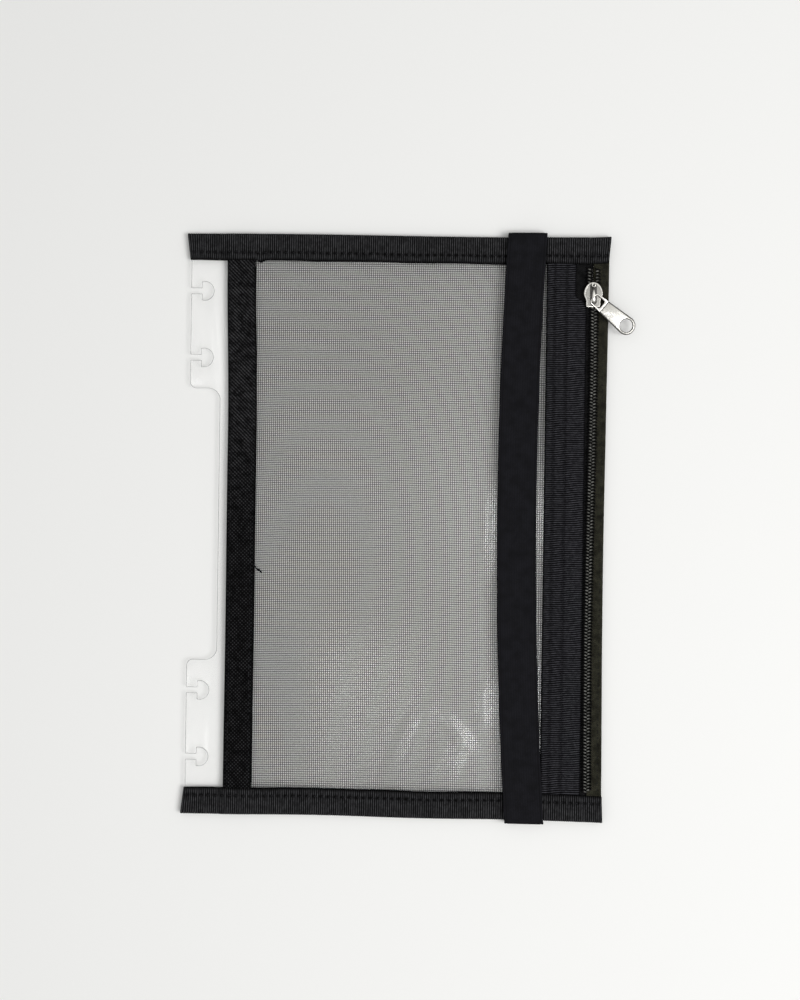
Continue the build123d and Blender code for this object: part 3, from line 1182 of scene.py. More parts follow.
@dataclass
class Pocket:
    """The mesh front and the clear film at the back."""

    warp_pitch: float = 0.79
    weft_pitch: float = 0.855
    yarn_width: float = 0.17
    yarn_height: float = 0.15
    tuck: float = 3.0
    end_tuck: float = 5.0
    warp_bow: float = 2.0
    weft_bow: float = 1.6
    yarn_steps: int = 28
    yarn_nesting: float = 0.8
    film_step: float = 1.1
    film_margin: float = 5.0
    film_wave_height: float = 0.08
    creases: tuple[Crease, ...] = (
        Crease(18.5, -76.5, 131.0, reach=9.0, width=4.4, height=0.31),
        Crease(17.8, -90.0, 66.0, reach=9.5, width=4.4, height=0.31),
        Crease(-1.5, -83.0, 66.0, reach=16.0, width=3.8, height=0.41),
        Crease(29.5, -66.0, 90.0, reach=7.0, width=3.6, height=0.24),
        Crease(29.3, -1.0, 90.0, reach=17.0, width=3.4, height=0.2),
    )

    def build(self) -> None:
        """Build and dress the mesh and the film."""
        self.build_mesh()
        self.build_film()

    def build_mesh(self) -> None:
        """Lay straight yarns both ways, bowed a little in their own plane as sewn mesh is."""
        tape, facing = Extent.of("side_tape_front"), Extent.of("zip_facing")
        window, mesh = Extent.of("zip_edge_thread"), Extent.of("front_mesh")
        x_low, x_high = tape.x_high - self.tuck, facing.x_low + self.tuck
        y_low, y_high = window.y_low - self.end_tuck, window.y_high + self.end_tuck
        level = (mesh.z_low + mesh.z_high) / 2
        along = np.linspace(0, 1, self.yarn_steps)
        warp_x, warp_y = np.meshgrid(
            np.arange(x_low, x_high, self.warp_pitch), y_low + along * (y_high - y_low), indexing="ij"
        )
        weft_y, weft_x = np.meshgrid(
            np.arange(y_low, y_high, self.weft_pitch), x_low + along * (x_high - x_low), indexing="ij"
        )

        def bowed(x: np.ndarray, y: np.ndarray) -> tuple[np.ndarray, np.ndarray, np.ndarray]:
            """Where a yarn point lies once the mesh is sewn in, with its height."""
            u, v = (x - x_low) / (x_high - x_low), (y - y_low) / (y_high - y_low)
            hump = np.sin(np.pi * u) * np.sin(np.pi * v)
            aside = -self.warp_bow * hump * (0.6 + 0.8 * v)
            up = self.weft_bow * hump * (1.2 - u)
            wave = 0.05 * np.sin(x / 11 + y / 29) + 0.04 * np.sin(y / 17 - x / 23)
            return x + aside, y + up, level + wave

        yarns = []
        for lines, across, layer in ((bowed(warp_x, warp_y), 0, 0.5), (bowed(weft_x, weft_y), 1, -0.5)):
            centre = np.stack(lines, axis=-1)
            centre[..., 2] += layer * self.yarn_height * self.yarn_nesting
            corners = np.zeros((4, 3))
            corners[:, across] = np.array([-1, 1, 1, -1]) * self.yarn_width / 2
            corners[:, 2] = np.array([-1, -1, 1, 1]) * self.yarn_height / 2
            yarns += [swept(line[:, None, :] + corners, paired=False) for line in centre]
        piece = Shape.joined(yarns).piece("front_mesh_net")
        dress(piece, NET_YARN, Body.WALLET, "front_mesh")

    def build_film(self) -> None:
        """Make the film, slack between its sewn edges, with a few soft creases."""
        box = Extent.of("back_sheet")
        x = np.linspace(box.x_low, box.x_high, round((box.x_high - box.x_low) / self.film_step) + 1)
        y = np.linspace(box.y_low, box.y_high, round((box.y_high - box.y_low) / self.film_step) + 1)
        grid_x, grid_y = np.meshgrid(x, y)
        wave = self.film_wave(grid_x, grid_y, box)
        thickness = box.z_high - box.z_low
        ring_x = np.concatenate([grid_x, grid_x[:, ::-1]], axis=1)
        ring_y = np.concatenate([grid_y, grid_y], axis=1)
        ring_z = box.z_low + np.concatenate([wave + thickness, wave[:, ::-1]], axis=1)
        piece = swept(np.stack([ring_x, ring_y, ring_z], axis=-1), paired=True).piece("back_film")
        dress(piece, FILM, Body.WALLET, "back_sheet")

    def film_wave(self, x: np.ndarray, y: np.ndarray, box: Extent) -> np.ndarray:
        """How far the film stands off its flat place.

        Args:
            x: places across.
            y: places up.
            box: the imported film's box.

        Returns:
            The heights, which fade to nothing at the sewn edges.
        """
        inside = np.minimum.reduce([x - box.x_low, box.x_high - x, y - box.y_low, box.y_high - y])
        slack = np.clip((inside - self.film_margin) / self.film_margin, 0, 1)
        swell = np.sin(x / 9 + 0.8 * np.sin(y / 31))
        wave = self.film_wave_height * swell + self.film_wave_height * np.sin(y / 13 + x / 41)
        for crease in self.creases:
            wave = wave + crease.lift(x, y)
        return wave * slack


@dataclass
class BinderStrip:
    """The clear die-cut strip with its disc slots: clear faces and cloudy cut walls."""

    edge_round: float = 0.14
    flat_angle: float = 0.5
    sharp_angle: float = 35
    wall_slope: float = 0.5

    def build(self) -> None:
        """Build and dress the strip."""
        strip = self.rounded()
        dress(strip, STRIP, Body.WALLET, "binder_strip")
        strip.data.materials.append(CUT_EDGE.material())
        strip.modifiers["rounded_edges"].material = 1
        for face in strip.data.polygons:
            face.material_index = 0 if abs(face.normal.z) > self.wall_slope else 1

    def rounded(self) -> bpy.types.Object:
        """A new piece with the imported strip's shape, its flat faces whole and its sharp edges rounded.

        Returns:
            The new piece.
        """
        mesh = frame["nodes"]["binder_strip"].data.copy()
        work = bmesh.new()
        work.from_mesh(mesh)
        bmesh.ops.remove_doubles(work, verts=work.verts, dist=MERGED * MM)
        flat = math.radians(self.flat_angle)
        bmesh.ops.dissolve_limit(work, angle_limit=flat, verts=work.verts, edges=work.edges)
        bmesh.ops.recalc_face_normals(work, faces=work.faces)
        work.to_mesh(mesh)
        work.free()
        mesh.shade_smooth()
        piece = bpy.data.objects.new("binder_strip_clear", mesh)
        bpy.context.scene.collection.objects.link(piece)
        rounding = piece.modifiers.new("rounded_edges", "BEVEL")
        rounding.width = self.edge_round * MM
        rounding.segments = 1
        rounding.limit_method = "ANGLE"
        rounding.angle_limit = math.radians(self.sharp_angle)
        rounding.harden_normals = True
        return piece


@dataclass
class ZipCloth:
    """The cloth of the zip: facing ribbon, left tape, right tape round the edge, and their seams."""

    facing_rib: float = 0.825
    facing_rib_depth: float = 0.2
    facing_slant: float = 0.05
    slant_from: float = 51.0
    steps_per_rib: int = 6
    facing_column: float = 0.7
    facing_seams: tuple[float, float] = (3.2, 7.6)
    facing_sink: float = 0.14
    facing_seed: int = 51
    seam_width: float = 0.45
    seam_dip: float = 0.02
    drawn_back: float = 4.0
    draw_start: float = 84.5
    draw_end: float = 88.0
    tape_rib: float = 0.7
    tape_rib_depth: float = 0.1
    tape_column: float = 0.2
    tape_step: float = 0.22
    hidden_column: float = 6.0
    shown_margin: float = 0.6
    thickness: float = 0.4
    fold_bulge: float = 0.7
    fold_steps: int = 7
    under_coil: float = 0.8
    coil_cover: float = 1.3
    hem_column: float = 3.0
    end_tuck: float = 0.8
    tuck_run: float = 0.5
    tuck_gap: float = 0.1
    sway: float = 0.1
    top_flare: float = 0.75
    top_flare_span: tuple[float, float] = (5, 95)
    bottom_flare: float = 0.45
    bottom_flare_span: tuple[float, float] = (40, 95)
    edge_sink: float = 0.1
    edge_seed: int = 61

    def ribs(self, x: np.ndarray, y: np.ndarray) -> np.ndarray:
        """Relief of the facing: ribs across it that waver a little, and a dip along each seam."""
        slant = self.facing_slant * (x - self.slant_from)
        waver = 0.14 * np.sin(x / 1.9 + y / 7) + 0.2 * np.sin(y / 33) - slant
        ribs = self.facing_rib_depth * (ridge((y + waver) / self.facing_rib) - 1)
        left = Extent.of("zip_facing").x_low
        dips = sum(np.exp(-(((x - left - inset) / self.seam_width) ** 2)) for inset in self.facing_seams)
        return ribs - self.seam_dip * dips

    def draw_back(self, y: np.ndarray) -> np.ndarray:
        """How far the facing's right edge is drawn back from the open end of the chain at each Y."""
        return self.drawn_back * smooth(y, self.draw_start, self.draw_end)

    def weave(self, x: np.ndarray, y: np.ndarray) -> np.ndarray:
        """Relief of the zip tape: a fine herringbone."""
        slant = np.abs((x / (4 * self.tape_rib)) % 1 - 0.5) * 4 * self.tape_rib
        return self.tape_rib_depth * (ridge((y + slant) / self.tape_rib) - 1)

    def build(self, stitching: Stitching) -> None:
        """Build and dress the facing, the two tapes and their seams.

        Args:
            stitching: the kind of stitch.
        """
        facing, left = Extent.of("zip_facing"), Extent.of("zip_tape_left")
        count = round((facing.x_high - facing.x_low) / self.facing_column) + 1
        columns = np.linspace(facing.x_low, facing.x_high, count)
        rib_step = self.facing_rib / self.steps_per_rib
        ribbon = FlatTape(
            "zip_facing",
            "zip_facing_ribbon",
            self.ribs,
            self.facing_rib_depth,
            columns,
            rib_step,
            trim=self.draw_back,
            wander=0.0,
        )
        ribbon.build(FACING_GROSGRAIN, "grosgrain")
        hidden = [left.x_low, facing.x_low + self.hidden_column]
        shown_from = facing.x_high - self.drawn_back - self.shown_margin
        shown = np.arange(shown_from, left.x_high, self.tape_column)
        columns = np.concatenate([hidden, shown, [left.x_high + self.under_coil]])
        tape = FlatTape(
            "zip_tape_left",
            "zip_tape_left_weave",
            self.weave,
            self.tape_rib_depth,
            columns,
            self.tape_step,
        )
        tape.build(ZIP_WEAVE_SHADED, "zip_tape")
        self.build_right_tape()
        thread = Extent.of("facing_thread")
        rows = [
            stitching.row(
                (facing.x_low + inset, thread.y_low),
                (facing.x_low + inset, thread.y_high),
                lambda at: np.full(at.shape, facing.z_high - self.facing_sink),
                seed,
            )
            for seed, inset in enumerate(self.facing_seams, self.facing_seed)
        ]
        seams = Shape.joined(rows).piece("facing_stitches")
        dress(seams, THREAD, Body.WALLET, "facing_thread")
        edge = Extent.of("zip_edge_thread")
        seam_x = (edge.x_low + edge.x_high) / 2
        row = stitching.row(
            (seam_x, edge.y_low),
            (seam_x, edge.y_high),
            lambda at: np.full(at.shape, edge.z_low - self.edge_sink),
            self.edge_seed,
        )
        dress(row.piece("zip_edge_stitches"), THREAD, Body.WALLET, "zip_edge_thread")

    def build_right_tape(self) -> None:
        """Fold the right tape round the wallet's edge, with its ends tucked flat into the bindings."""
        box, edge = Extent.of("zip_tape_right"), Extent.of("zip_edge_thread")
        y_low, y_high = box.y_low + self.end_tuck, box.y_high - self.end_tuck
        y = np.linspace(y_low, y_high, round((y_high - y_low) / self.tape_step) + 1)[:, None]
        coil = Extent.of("zip_coil_right")
        front_width = box.x_high - coil.x_low - self.coil_cover + self.under_coil
        hem_width = box.x_high - box.x_low
        front = np.arange(front_width, self.fold_bulge, -self.tape_column)
        hem = [self.fold_bulge, self.hem_column, hem_width]
        path = fold_path(front, hem, self.fold_bulge, self.fold_steps)
        inward, height, out_x, out_z = path.T
        tucked = np.clip((np.abs(y) - edge.y_high) / self.tuck_run, 0, 1)
        bottom = box.z_low + tucked * (self.thickness + self.tuck_gap)
        z = (box.z_high + bottom) / 2 + height * (box.z_high - bottom) / 2
        sway = self.sway * np.sin(y / 17) * np.sin(y / 43 + 1) - self.sway
        near_fold = np.clip(1 - inward / front_width, 0, 1) * (height > -FLAT_SHARE)
        top_flare = self.top_flare * smooth(y, *self.top_flare_span)
        bottom_flare = self.bottom_flare * smooth(-y, *self.bottom_flare_span)
        x = box.x_high - inward + sway + (top_flare + bottom_flare) * near_fold
        raised = self.weave(x, y)
        outer_z, inner_z = z + out_z * raised, z - out_z * self.thickness
        outer = np.stack([x + out_x * raised, np.broadcast_to(y, x.shape), outer_z], axis=-1)
        inner = np.stack([x - out_x * self.thickness, np.broadcast_to(y, x.shape), inner_z], axis=-1)
        # Painted light: the weave's crests get a painted highlight and its valleys painted shade.
        crest = np.concatenate([crest_share(raised, self.tape_rib_depth), np.zeros_like(raised)], axis=1)
        rings = np.concatenate([outer, inner[:, ::-1]], axis=1)
        piece = swept(rings, paired=True, crest=crest).piece("zip_tape_right_weave")
        dress(piece, ZIP_WEAVE_LIT, Body.WALLET, "zip_tape_right")


@dataclass
class ZipChain:
    """The two coil rows: one nylon filament each, wound in flat loops that mesh at the middle."""

    pitch: float = 1.22
    filament: float = 0.56
    flatness: float = 0.72
    steps: int = 16
    sides: int = 8
    spread: float = 0.9
    overlap: float = 0.3
    open_start: float = 2.3
    bow: float = 0.43
    bow_offset: float = 0.05
    bow_middle: float = -45.0
    bow_run: float = 110.0
    squareness: float = 0.7
    root_drop: float = 0.25
    head_place: float = 0.55
    head_reach: float = 0.38
    side_light: float = 0.2

    def build(self) -> None:
        """Build and dress both rows."""
        for row in Row:
            node = f"zip_coil_{row.name.lower()}"
            piece = self.row_shape(row, node).piece(f"{node}_loops")
            dress(piece, COIL_NYLON, Body.WALLET, node)

    def row_shape(self, row: Row, node: str) -> Shape:
        """Wind one row's filament.

        Args:
            row: which row it is.
            node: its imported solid.

        Returns:
            The filament's shape.
        """
        box, slider = Extent.of(node), Extent.of("slider_body")
        chain_x = (slider.x_low + slider.x_high) / 2
        outer = max(abs(box.x_low - chain_x), abs(box.x_high - chain_x)) - self.spread
        first = box.y_low + self.filament / 2 + (self.pitch / 2 if row is Row.RIGHT else 0)
        turns = int((box.y_high - self.filament / 2 - first) / self.pitch)
        angle = np.linspace(0, 2 * np.pi * turns, turns * self.steps + 1)
        reach = (outer + self.overlap - self.filament) / 2
        middle = (outer - self.overlap) / 2
        rise = (box.z_high - box.z_low - self.filament * self.flatness) / 2
        y = first + self.pitch * angle / (2 * np.pi)
        open_run = slider.y_high - slider.y_low - self.open_start
        open_share = np.clip((y - slider.y_low - self.open_start) / open_run, 0, 1)
        opened = self.spread * open_share
        swing = np.cos(np.pi * (y - self.bow_middle) / self.bow_run)
        bowed = self.bow * (self.bow_offset - swing) * (1 - open_share)
        from_head = middle - reach * np.cos(angle)
        x = chain_x + row.value * (from_head + opened) + bowed
        flattened = np.sign(np.sin(angle)) * np.abs(np.sin(angle)) ** self.squareness
        toward_middle = 0.5 + 0.5 * np.cos(angle)
        root = (1 - toward_middle) * (flattened > 0)
        z = (box.z_low + box.z_high) / 2 + rise * (flattened - self.root_drop * root)
        line = np.stack([x, y, z], axis=-1)
        way = np.gradient(line, axis=0)
        way /= np.linalg.norm(way, axis=1, keepdims=True)
        side = np.cross(way, [0.0, 1.0, 0.0])
        side /= np.linalg.norm(side, axis=1, keepdims=True)
        up = np.cross(way, side)
        turn = np.linspace(0, 2 * np.pi, self.sides, endpoint=False)
        thin = self.flatness * np.cos(turn)[:, None] * side[:, None, :]
        ring = thin + np.sin(turn)[:, None] * up[:, None, :]
        # Painted highlight: a pale dot on the upper side of each loop near its head, standing in for the
        # glint of the light there.
        head = np.exp(-(((from_head - self.head_place) / self.head_reach) ** 4))
        upward = np.clip(ring[..., 2] / self.flatness + self.side_light, 0, 1)
        crest = (head * (flattened > 0))[:, None] * upward
        return swept(line[:, None, :] + ring * self.filament / 2, paired=False, crest=crest)


def circle(x: float, y: float, radius: float, steps: int = 40) -> np.ndarray:
    """Points round a circle."""
    turn = np.linspace(0, 2 * np.pi, steps, endpoint=False)
    return np.stack([x + radius * np.cos(turn), y + radius * np.sin(turn)], axis=-1)


def hull(*outlines: np.ndarray) -> np.ndarray:
    """The tight outline round some others."""
    points = np.concatenate(outlines)
    return points[convex_hull_2d(points.tolist())]


def plate(
    outlines: Sequence[np.ndarray], low: float, high: float, edge: float, lit: float = 1.0
) -> Shape:
    """A cast plate with rounded edges.

    Args:
        outlines: closed outlines seen from above, the outer one first and then its holes.
        low: the height of its lower face.
        high: the height of its upper face.
        edge: the radius of its edges.
        lit: the painted light of its flat faces, from 0 for painted shade to 1.

    Returns:
        The plate's shape, whose crest, its painted light, falls from its faces to nothing, painted shade, on
        its walls.
    """
    curve = bpy.data.curves.new("plate", "CURVE")
    curve.dimensions = "2D"
    curve.fill_mode = "BOTH"
    curve.extrude = (high - low) / 2 - edge
    curve.bevel_depth = edge
    curve.bevel_resolution = 2
    curve.offset = -edge
    for outline in outlines:
        spline = curve.splines.new("POLY")
        spline.points.add(len(outline) - 1)
        spline.points.foreach_set("co", np.pad(outline, ((0, 0), (0, 2))).ravel())
        spline.use_cyclic_u = True
    holder = bpy.data.objects.new("plate", curve)
    mesh = bpy.data.meshes.new_from_object(holder)
    bpy.data.objects.remove(holder)
    work = bmesh.new()
    work.from_mesh(mesh)
    bpy.data.meshes.remove(mesh)
    bmesh.ops.remove_doubles(work, verts=work.verts, dist=MERGED)
    bmesh.ops.recalc_face_normals(work, faces=work.faces)
    work.normal_update()
    points = np.array([vert.co for vert in work.verts])
    tilt = np.array([abs(vert.normal.z) for vert in work.verts])
    faces = [[vert.index for vert in face.verts] for face in work.faces]
    work.free()
    points[:, 2] += (low + high) / 2
    return Shape(points, faces, lit * smooth(tilt, *FACE_TILT))


@dataclass
class ZipPuller:
    """The slider casting with its strap, and the pull tab whose eye goes round the strap."""

    sunk: float = 0.1
    fine_edge: float = 0.03
    # Painted light of the slider's lower plate, walls and post: a middle share paints them darker, as shade
    # under the top plate.
    inner_lit: float = 0.5
    shoulder: float = 4.5
    waist: float = 2.6
    tail_width: float = 5.3
    tail_corner: float = 0.5
    tail_bevel: float = 0.15
    slider_plate: float = 0.8
    slider_edge: float = 0.26
    # Painted light of the slider's top plate, darker than its bright border.
    slider_lit: float = 0.62
    border_width: float = 0.62
    border_height: float = 0.12
    border_sunk: float = 0.2
    border_edge: float = 0.1
    flange: float = 0.42
    flange_depth: float = 0.83
    flange_reach: float = 1.5
    flange_start: float = 0.2
    flange_inset: float = 0.02
    flange_steps: int = 12
    lower_plate: float = 0.68
    lower_edge: float = 0.2
    post_inset: float = 0.95
    post_run: float = 2.5
    post_radius: float = 0.45
    post_start: float = 0.5
    post_edge: float = 0.05
    strap_height: float = 2.2
    strap_thickness: float = 0.7
    strap_narrow: float = 0.3
    strap_wide: float = 0.62
    strap_steps: int = 8
    strap_sides: int = 12
    strap_squareness: float = 0.6
    strap_bend: float = 0.45
    strap_corner: float = 0.13
    # Painted light along the strap: painted shade near the boss, bright at its foot.
    strap_lit: float = 0.05
    strap_lit_span: tuple[float, float] = (0.25, 0.6)
    strap_face_span: tuple[float, float] = (0.2, 0.9)
    boss_inset: float = 1.35
    boss_radius: float = 0.85
    boss_sunk: float = 0.3
    boss_dip: float = 0.2
    boss_edge: float = 0.25
    # Painted shade in the boss's dimple.
    boss_lit: float = 0.25
    rim_edge: float = 0.2
    rim_bore: float = 0.4
    foot_above_tail: float = 2.04
    # A thin dark plate on the slider's top, from the boss to the strap's foot: painted shade round the
    # strap.
    shade_patch_radius: float = 1.3
    shade_patch_rise: float = 0.04
    shade_patch_lit: float = 0.12
    swing: float = 39.0
    droop: float = 6.0
    pull_thickness: float = 0.7
    pull_edge: float = 0.26
    reach: float = 16.25
    end_radius: float = 3.5
    hole_radius: float = 2.45
    side_shift: float = 0.25
    eye_length: float = 4.1
    eye_width: float = 3.5
    eye_wire: float = 0.6
    eye_corner: float = 0.8
    pad_height: float = 0.15
    pad_edge: float = 0.07
    wire_edge: float = 0.1
    bar_end: float = 5.3
    field_start: float = 5.65
    border: float = 0.45
    hole_border: float = 0.22
    # Painted light of the pull: its blade painted dark as shade, its field bright.
    border_lit: float = 0.12
    field_lit: float = 0.85

    def build(self) -> None:
        """Build and dress the slider and the pull."""
        slider = Shape.joined(self.slider_parts(Extent.of("slider_body"))).piece("slider_casting")
        dress(slider, NICKEL, Body.SLIDER, "slider_body")
        pull = self.pull_shape().piece("pull_tab_casting")
        dress(pull, NICKEL, Body.PULL, "pull_tab")

    def slider_outline(self, box: Extent, inset: float) -> np.ndarray:
        """The slider seen from above: a round nose, shoulders and a narrower tail.

        Args:
            box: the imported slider's box.
            inset: how far the outline is drawn in.

        Returns:
            The outline's points.
        """
        half, tail = (box.x_high - box.x_low) / 2 - inset, self.tail_width / 2 - inset
        shoulder_y, low = box.y_high - self.shoulder, box.y_low + inset
        turn, t = np.linspace(0, np.pi, 32), np.linspace(0.1, 1, 9)
        nose_y = shoulder_y + (self.shoulder - inset) * np.sin(turn)
        nose = np.stack([half * np.cos(turn), nose_y], axis=-1)
        neck = np.stack([-half + (half - tail) * smooth(t, 0, 1), shoulder_y - self.waist * t], axis=-1)
        corner = [
            (-tail, low + self.tail_corner),
            (-tail + self.tail_bevel, low + self.tail_bevel),
            (-tail + self.tail_corner, low),
        ]
        left = np.concatenate([neck, corner])
        outline = np.concatenate([nose, left, left[::-1] * [-1, 1]])
        return outline + [(box.x_low + box.x_high) / 2, 0]

    def slider_parts(self, box: Extent) -> list[Shape]:
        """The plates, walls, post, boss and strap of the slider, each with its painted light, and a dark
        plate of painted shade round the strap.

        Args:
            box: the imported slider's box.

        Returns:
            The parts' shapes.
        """
        chain_x = (box.x_low + box.x_high) / 2
        top = box.z_high - self.strap_height
        low = top - self.slider_plate
        boss_y = box.y_high - self.boss_inset
        foot_y = box.y_low + self.foot_above_tail
        outline = self.slider_outline(box, 0)
        border = [self.slider_outline(box, inset) for inset in (self.fine_edge, self.border_width)]
        field = top - self.border_height
        # A dark plate of painted shade on the top plate round the strap.
        shade_patch = hull(*[circle(chain_x, y, self.shade_patch_radius) for y in (boss_y, foot_y)])
        boss = circle(chain_x, boss_y, self.boss_radius)
        bore = circle(chain_x, boss_y, self.rim_bore)
        post_y = box.y_high - self.post_inset
        post = hull(*[circle(chain_x, y, self.post_radius) for y in (post_y, post_y - self.post_run)])
        wall_end = box.y_high - self.shoulder + self.flange_reach
        wall_y = np.linspace(box.y_low + self.flange_start, wall_end, self.flange_steps)
        right = outline[outline[:, 0] > chain_x]
        right = right[np.argsort(right[:, 1])]
        wall_x = np.interp(wall_y, right[:, 1], right[:, 0] - chain_x) - self.flange_inset
        wall_low, inside = low - self.flange_depth, low + self.sunk
        walls = []
        for side in (-1, 1):
            outer = np.stack([chain_x + side * wall_x, wall_y], axis=-1)
            inner = np.stack([chain_x + side * (wall_x - self.flange), wall_y], axis=-1)[::-1]
            wall = np.concatenate([outer, inner])
            walls.append(plate([wall], wall_low, inside, self.fine_edge, self.inner_lit))
        return [
            plate([outline], low, field, self.slider_edge, self.slider_lit),
            plate(border, field - self.border_sunk, top, self.border_edge),
            plate([shade_patch], field - self.sunk, field + self.shade_patch_rise, self.fine_edge, self.shade_patch_lit),
            plate([outline], box.z_low, box.z_low + self.lower_plate, self.lower_edge, self.inner_lit),
            plate([post], box.z_low + self.post_start, inside, self.post_edge, self.inner_lit),
            plate([boss], top - self.boss_sunk, box.z_high - self.boss_dip, self.boss_edge, self.boss_lit),
            plate([boss, bore], top, box.z_high, self.rim_edge),
            self.strap(chain_x, boss_y, foot_y, top, box.z_high - self.strap_thickness / 2),
            *walls,
        ]

    def strap(self, x: float, boss_y: float, foot_y: float, low: float, high: float) -> Shape:
        """The strap that holds the pull: level from the boss, widening, then down to its foot.

        Args:
            x: the chain's X.
            boss_y: the boss's Y.
            foot_y: the foot's Y.
            low: the height of the plate under the foot.
            high: the height of the strap's middle.

        Returns:
            The strap's shape.
        """
        run = np.linspace(0, 1, self.strap_steps)
        level_y = boss_y + (foot_y + self.strap_bend - boss_y) * run
        level = np.stack([level_y, np.full_like(run, high)], axis=-1)
        bend = [
            (foot_y + self.strap_corner, high - self.strap_corner),
            (foot_y, high - self.strap_bend),
            (foot_y, (low + high) / 2),
            (foot_y, low - self.sunk),
        ]
        line = np.concatenate([level, bend])
        way = np.gradient(line, axis=0)
        way /= np.linalg.norm(way, axis=1, keepdims=True)
        share = np.concatenate([run, np.ones(len(bend))])
        half = self.strap_narrow + (self.strap_wide - self.strap_narrow) * share
        turn = np.linspace(0, 2 * np.pi, self.strap_sides, endpoint=False)
        aside = np.sign(np.cos(turn)) * np.abs(np.cos(turn)) ** self.strap_squareness
        up = np.sign(np.sin(turn)) * np.abs(np.sin(turn)) ** self.strap_squareness
        rise = up * self.strap_thickness / 2
        y, z = line[:, :1] + way[:, 1:] * rise, line[:, 1:] - way[:, :1] * rise
        points = np.stack([x + half[:, None] * aside, y, z], axis=-1)
        # Painted light: the strap is painted dark near the boss and on its sides as shade, and bright on top
        # towards its foot.
        lit = self.strap_lit + (1 - self.strap_lit) * smooth(share, *self.strap_lit_span)
        crest = lit[:, None] * smooth(up, *self.strap_face_span)
        return swept(points, paired=False, crest=crest)

    def pull_shape(self) -> Shape:
        """The pull: a plate painted dark as shade, with an eye and a cord hole, and a bright pad on its eye
        and its field.

        Returns:
            The pull's shape where it rests.
        """
        eye_half = self.eye_width / 2 + self.eye_wire
        eye_round = self.eye_corner + self.eye_wire
        corner_x, corner_y = eye_round - self.eye_wire / 2, eye_half - eye_round
        end, hole = circle(self.reach, 0, self.end_radius), circle(self.reach, 0, self.hole_radius)
        shoulders = [(corner_x, corner_y), (corner_x, -corner_y)]
        outline = hull(end, *[circle(x, y, eye_round) for x, y in shoulders])
        near = self.eye_wire / 2 + self.eye_corner
        far = self.eye_wire / 2 + self.eye_length - self.eye_corner
        eye_y = self.eye_width / 2 - self.eye_corner
        eye_corners = [(x, y) for x in (near, far) for y in (-eye_y, eye_y)]
        eye = hull(*[circle(x, y, self.eye_corner) for x, y in eye_corners])

        def half_width(x: float) -> float:
            """Half the blade's width at a place along it."""
            return eye_half + (self.end_radius - eye_half) * (x - corner_x) / (self.reach - corner_x)

        bar = half_width(self.bar_end) - self.wire_edge
        eye_pad = hull(
            *[circle(x, y, eye_round - self.wire_edge) for x, y in shoulders],
            np.array([[self.bar_end, bar], [self.bar_end, -bar]]),
        )
        eye_gap = hull(*[circle(x, y, self.eye_corner + self.wire_edge) for x, y in eye_corners])
        first = half_width(self.field_start) - self.border
        start = np.array([[self.field_start, first], [self.field_start, -first]])
        field = hull(circle(self.reach, 0, self.end_radius - self.border), start)
        ring = circle(self.reach, 0, self.hole_radius + self.hole_border)
        half = self.pull_thickness / 2
        pad_low, pad_high = half - self.sunk, half + self.pad_height
        parts = [
            plate([outline, eye, hole], -half, half, self.pull_edge, self.border_lit),
            plate([eye_pad, eye_gap], pad_low, pad_high, self.pad_edge),
            plate([field, ring], pad_low, pad_high, self.pad_edge, self.field_lit),
        ]
        shape = Shape.joined(parts)
        shape.points[:, 1] -= self.side_shift
        swing, droop = math.radians(self.swing), math.radians(self.droop)
        level = np.array([math.cos(swing), -math.sin(swing), 0.0])
        up = np.array([0.0, 0.0, 1.0])
        along = level * math.cos(droop) - up * math.sin(droop)
        out = level * math.sin(droop) + up * math.cos(droop)
        joints = {joint["name"]: joint for joint in frame["record"]["behaviour"]["joints"]}
        pivot = np.array(joints["pull_lift"]["pos_m"]) / MM
        shape.points = pivot + shape.points @ np.stack([along, np.cross(out, along), out])
        return shape


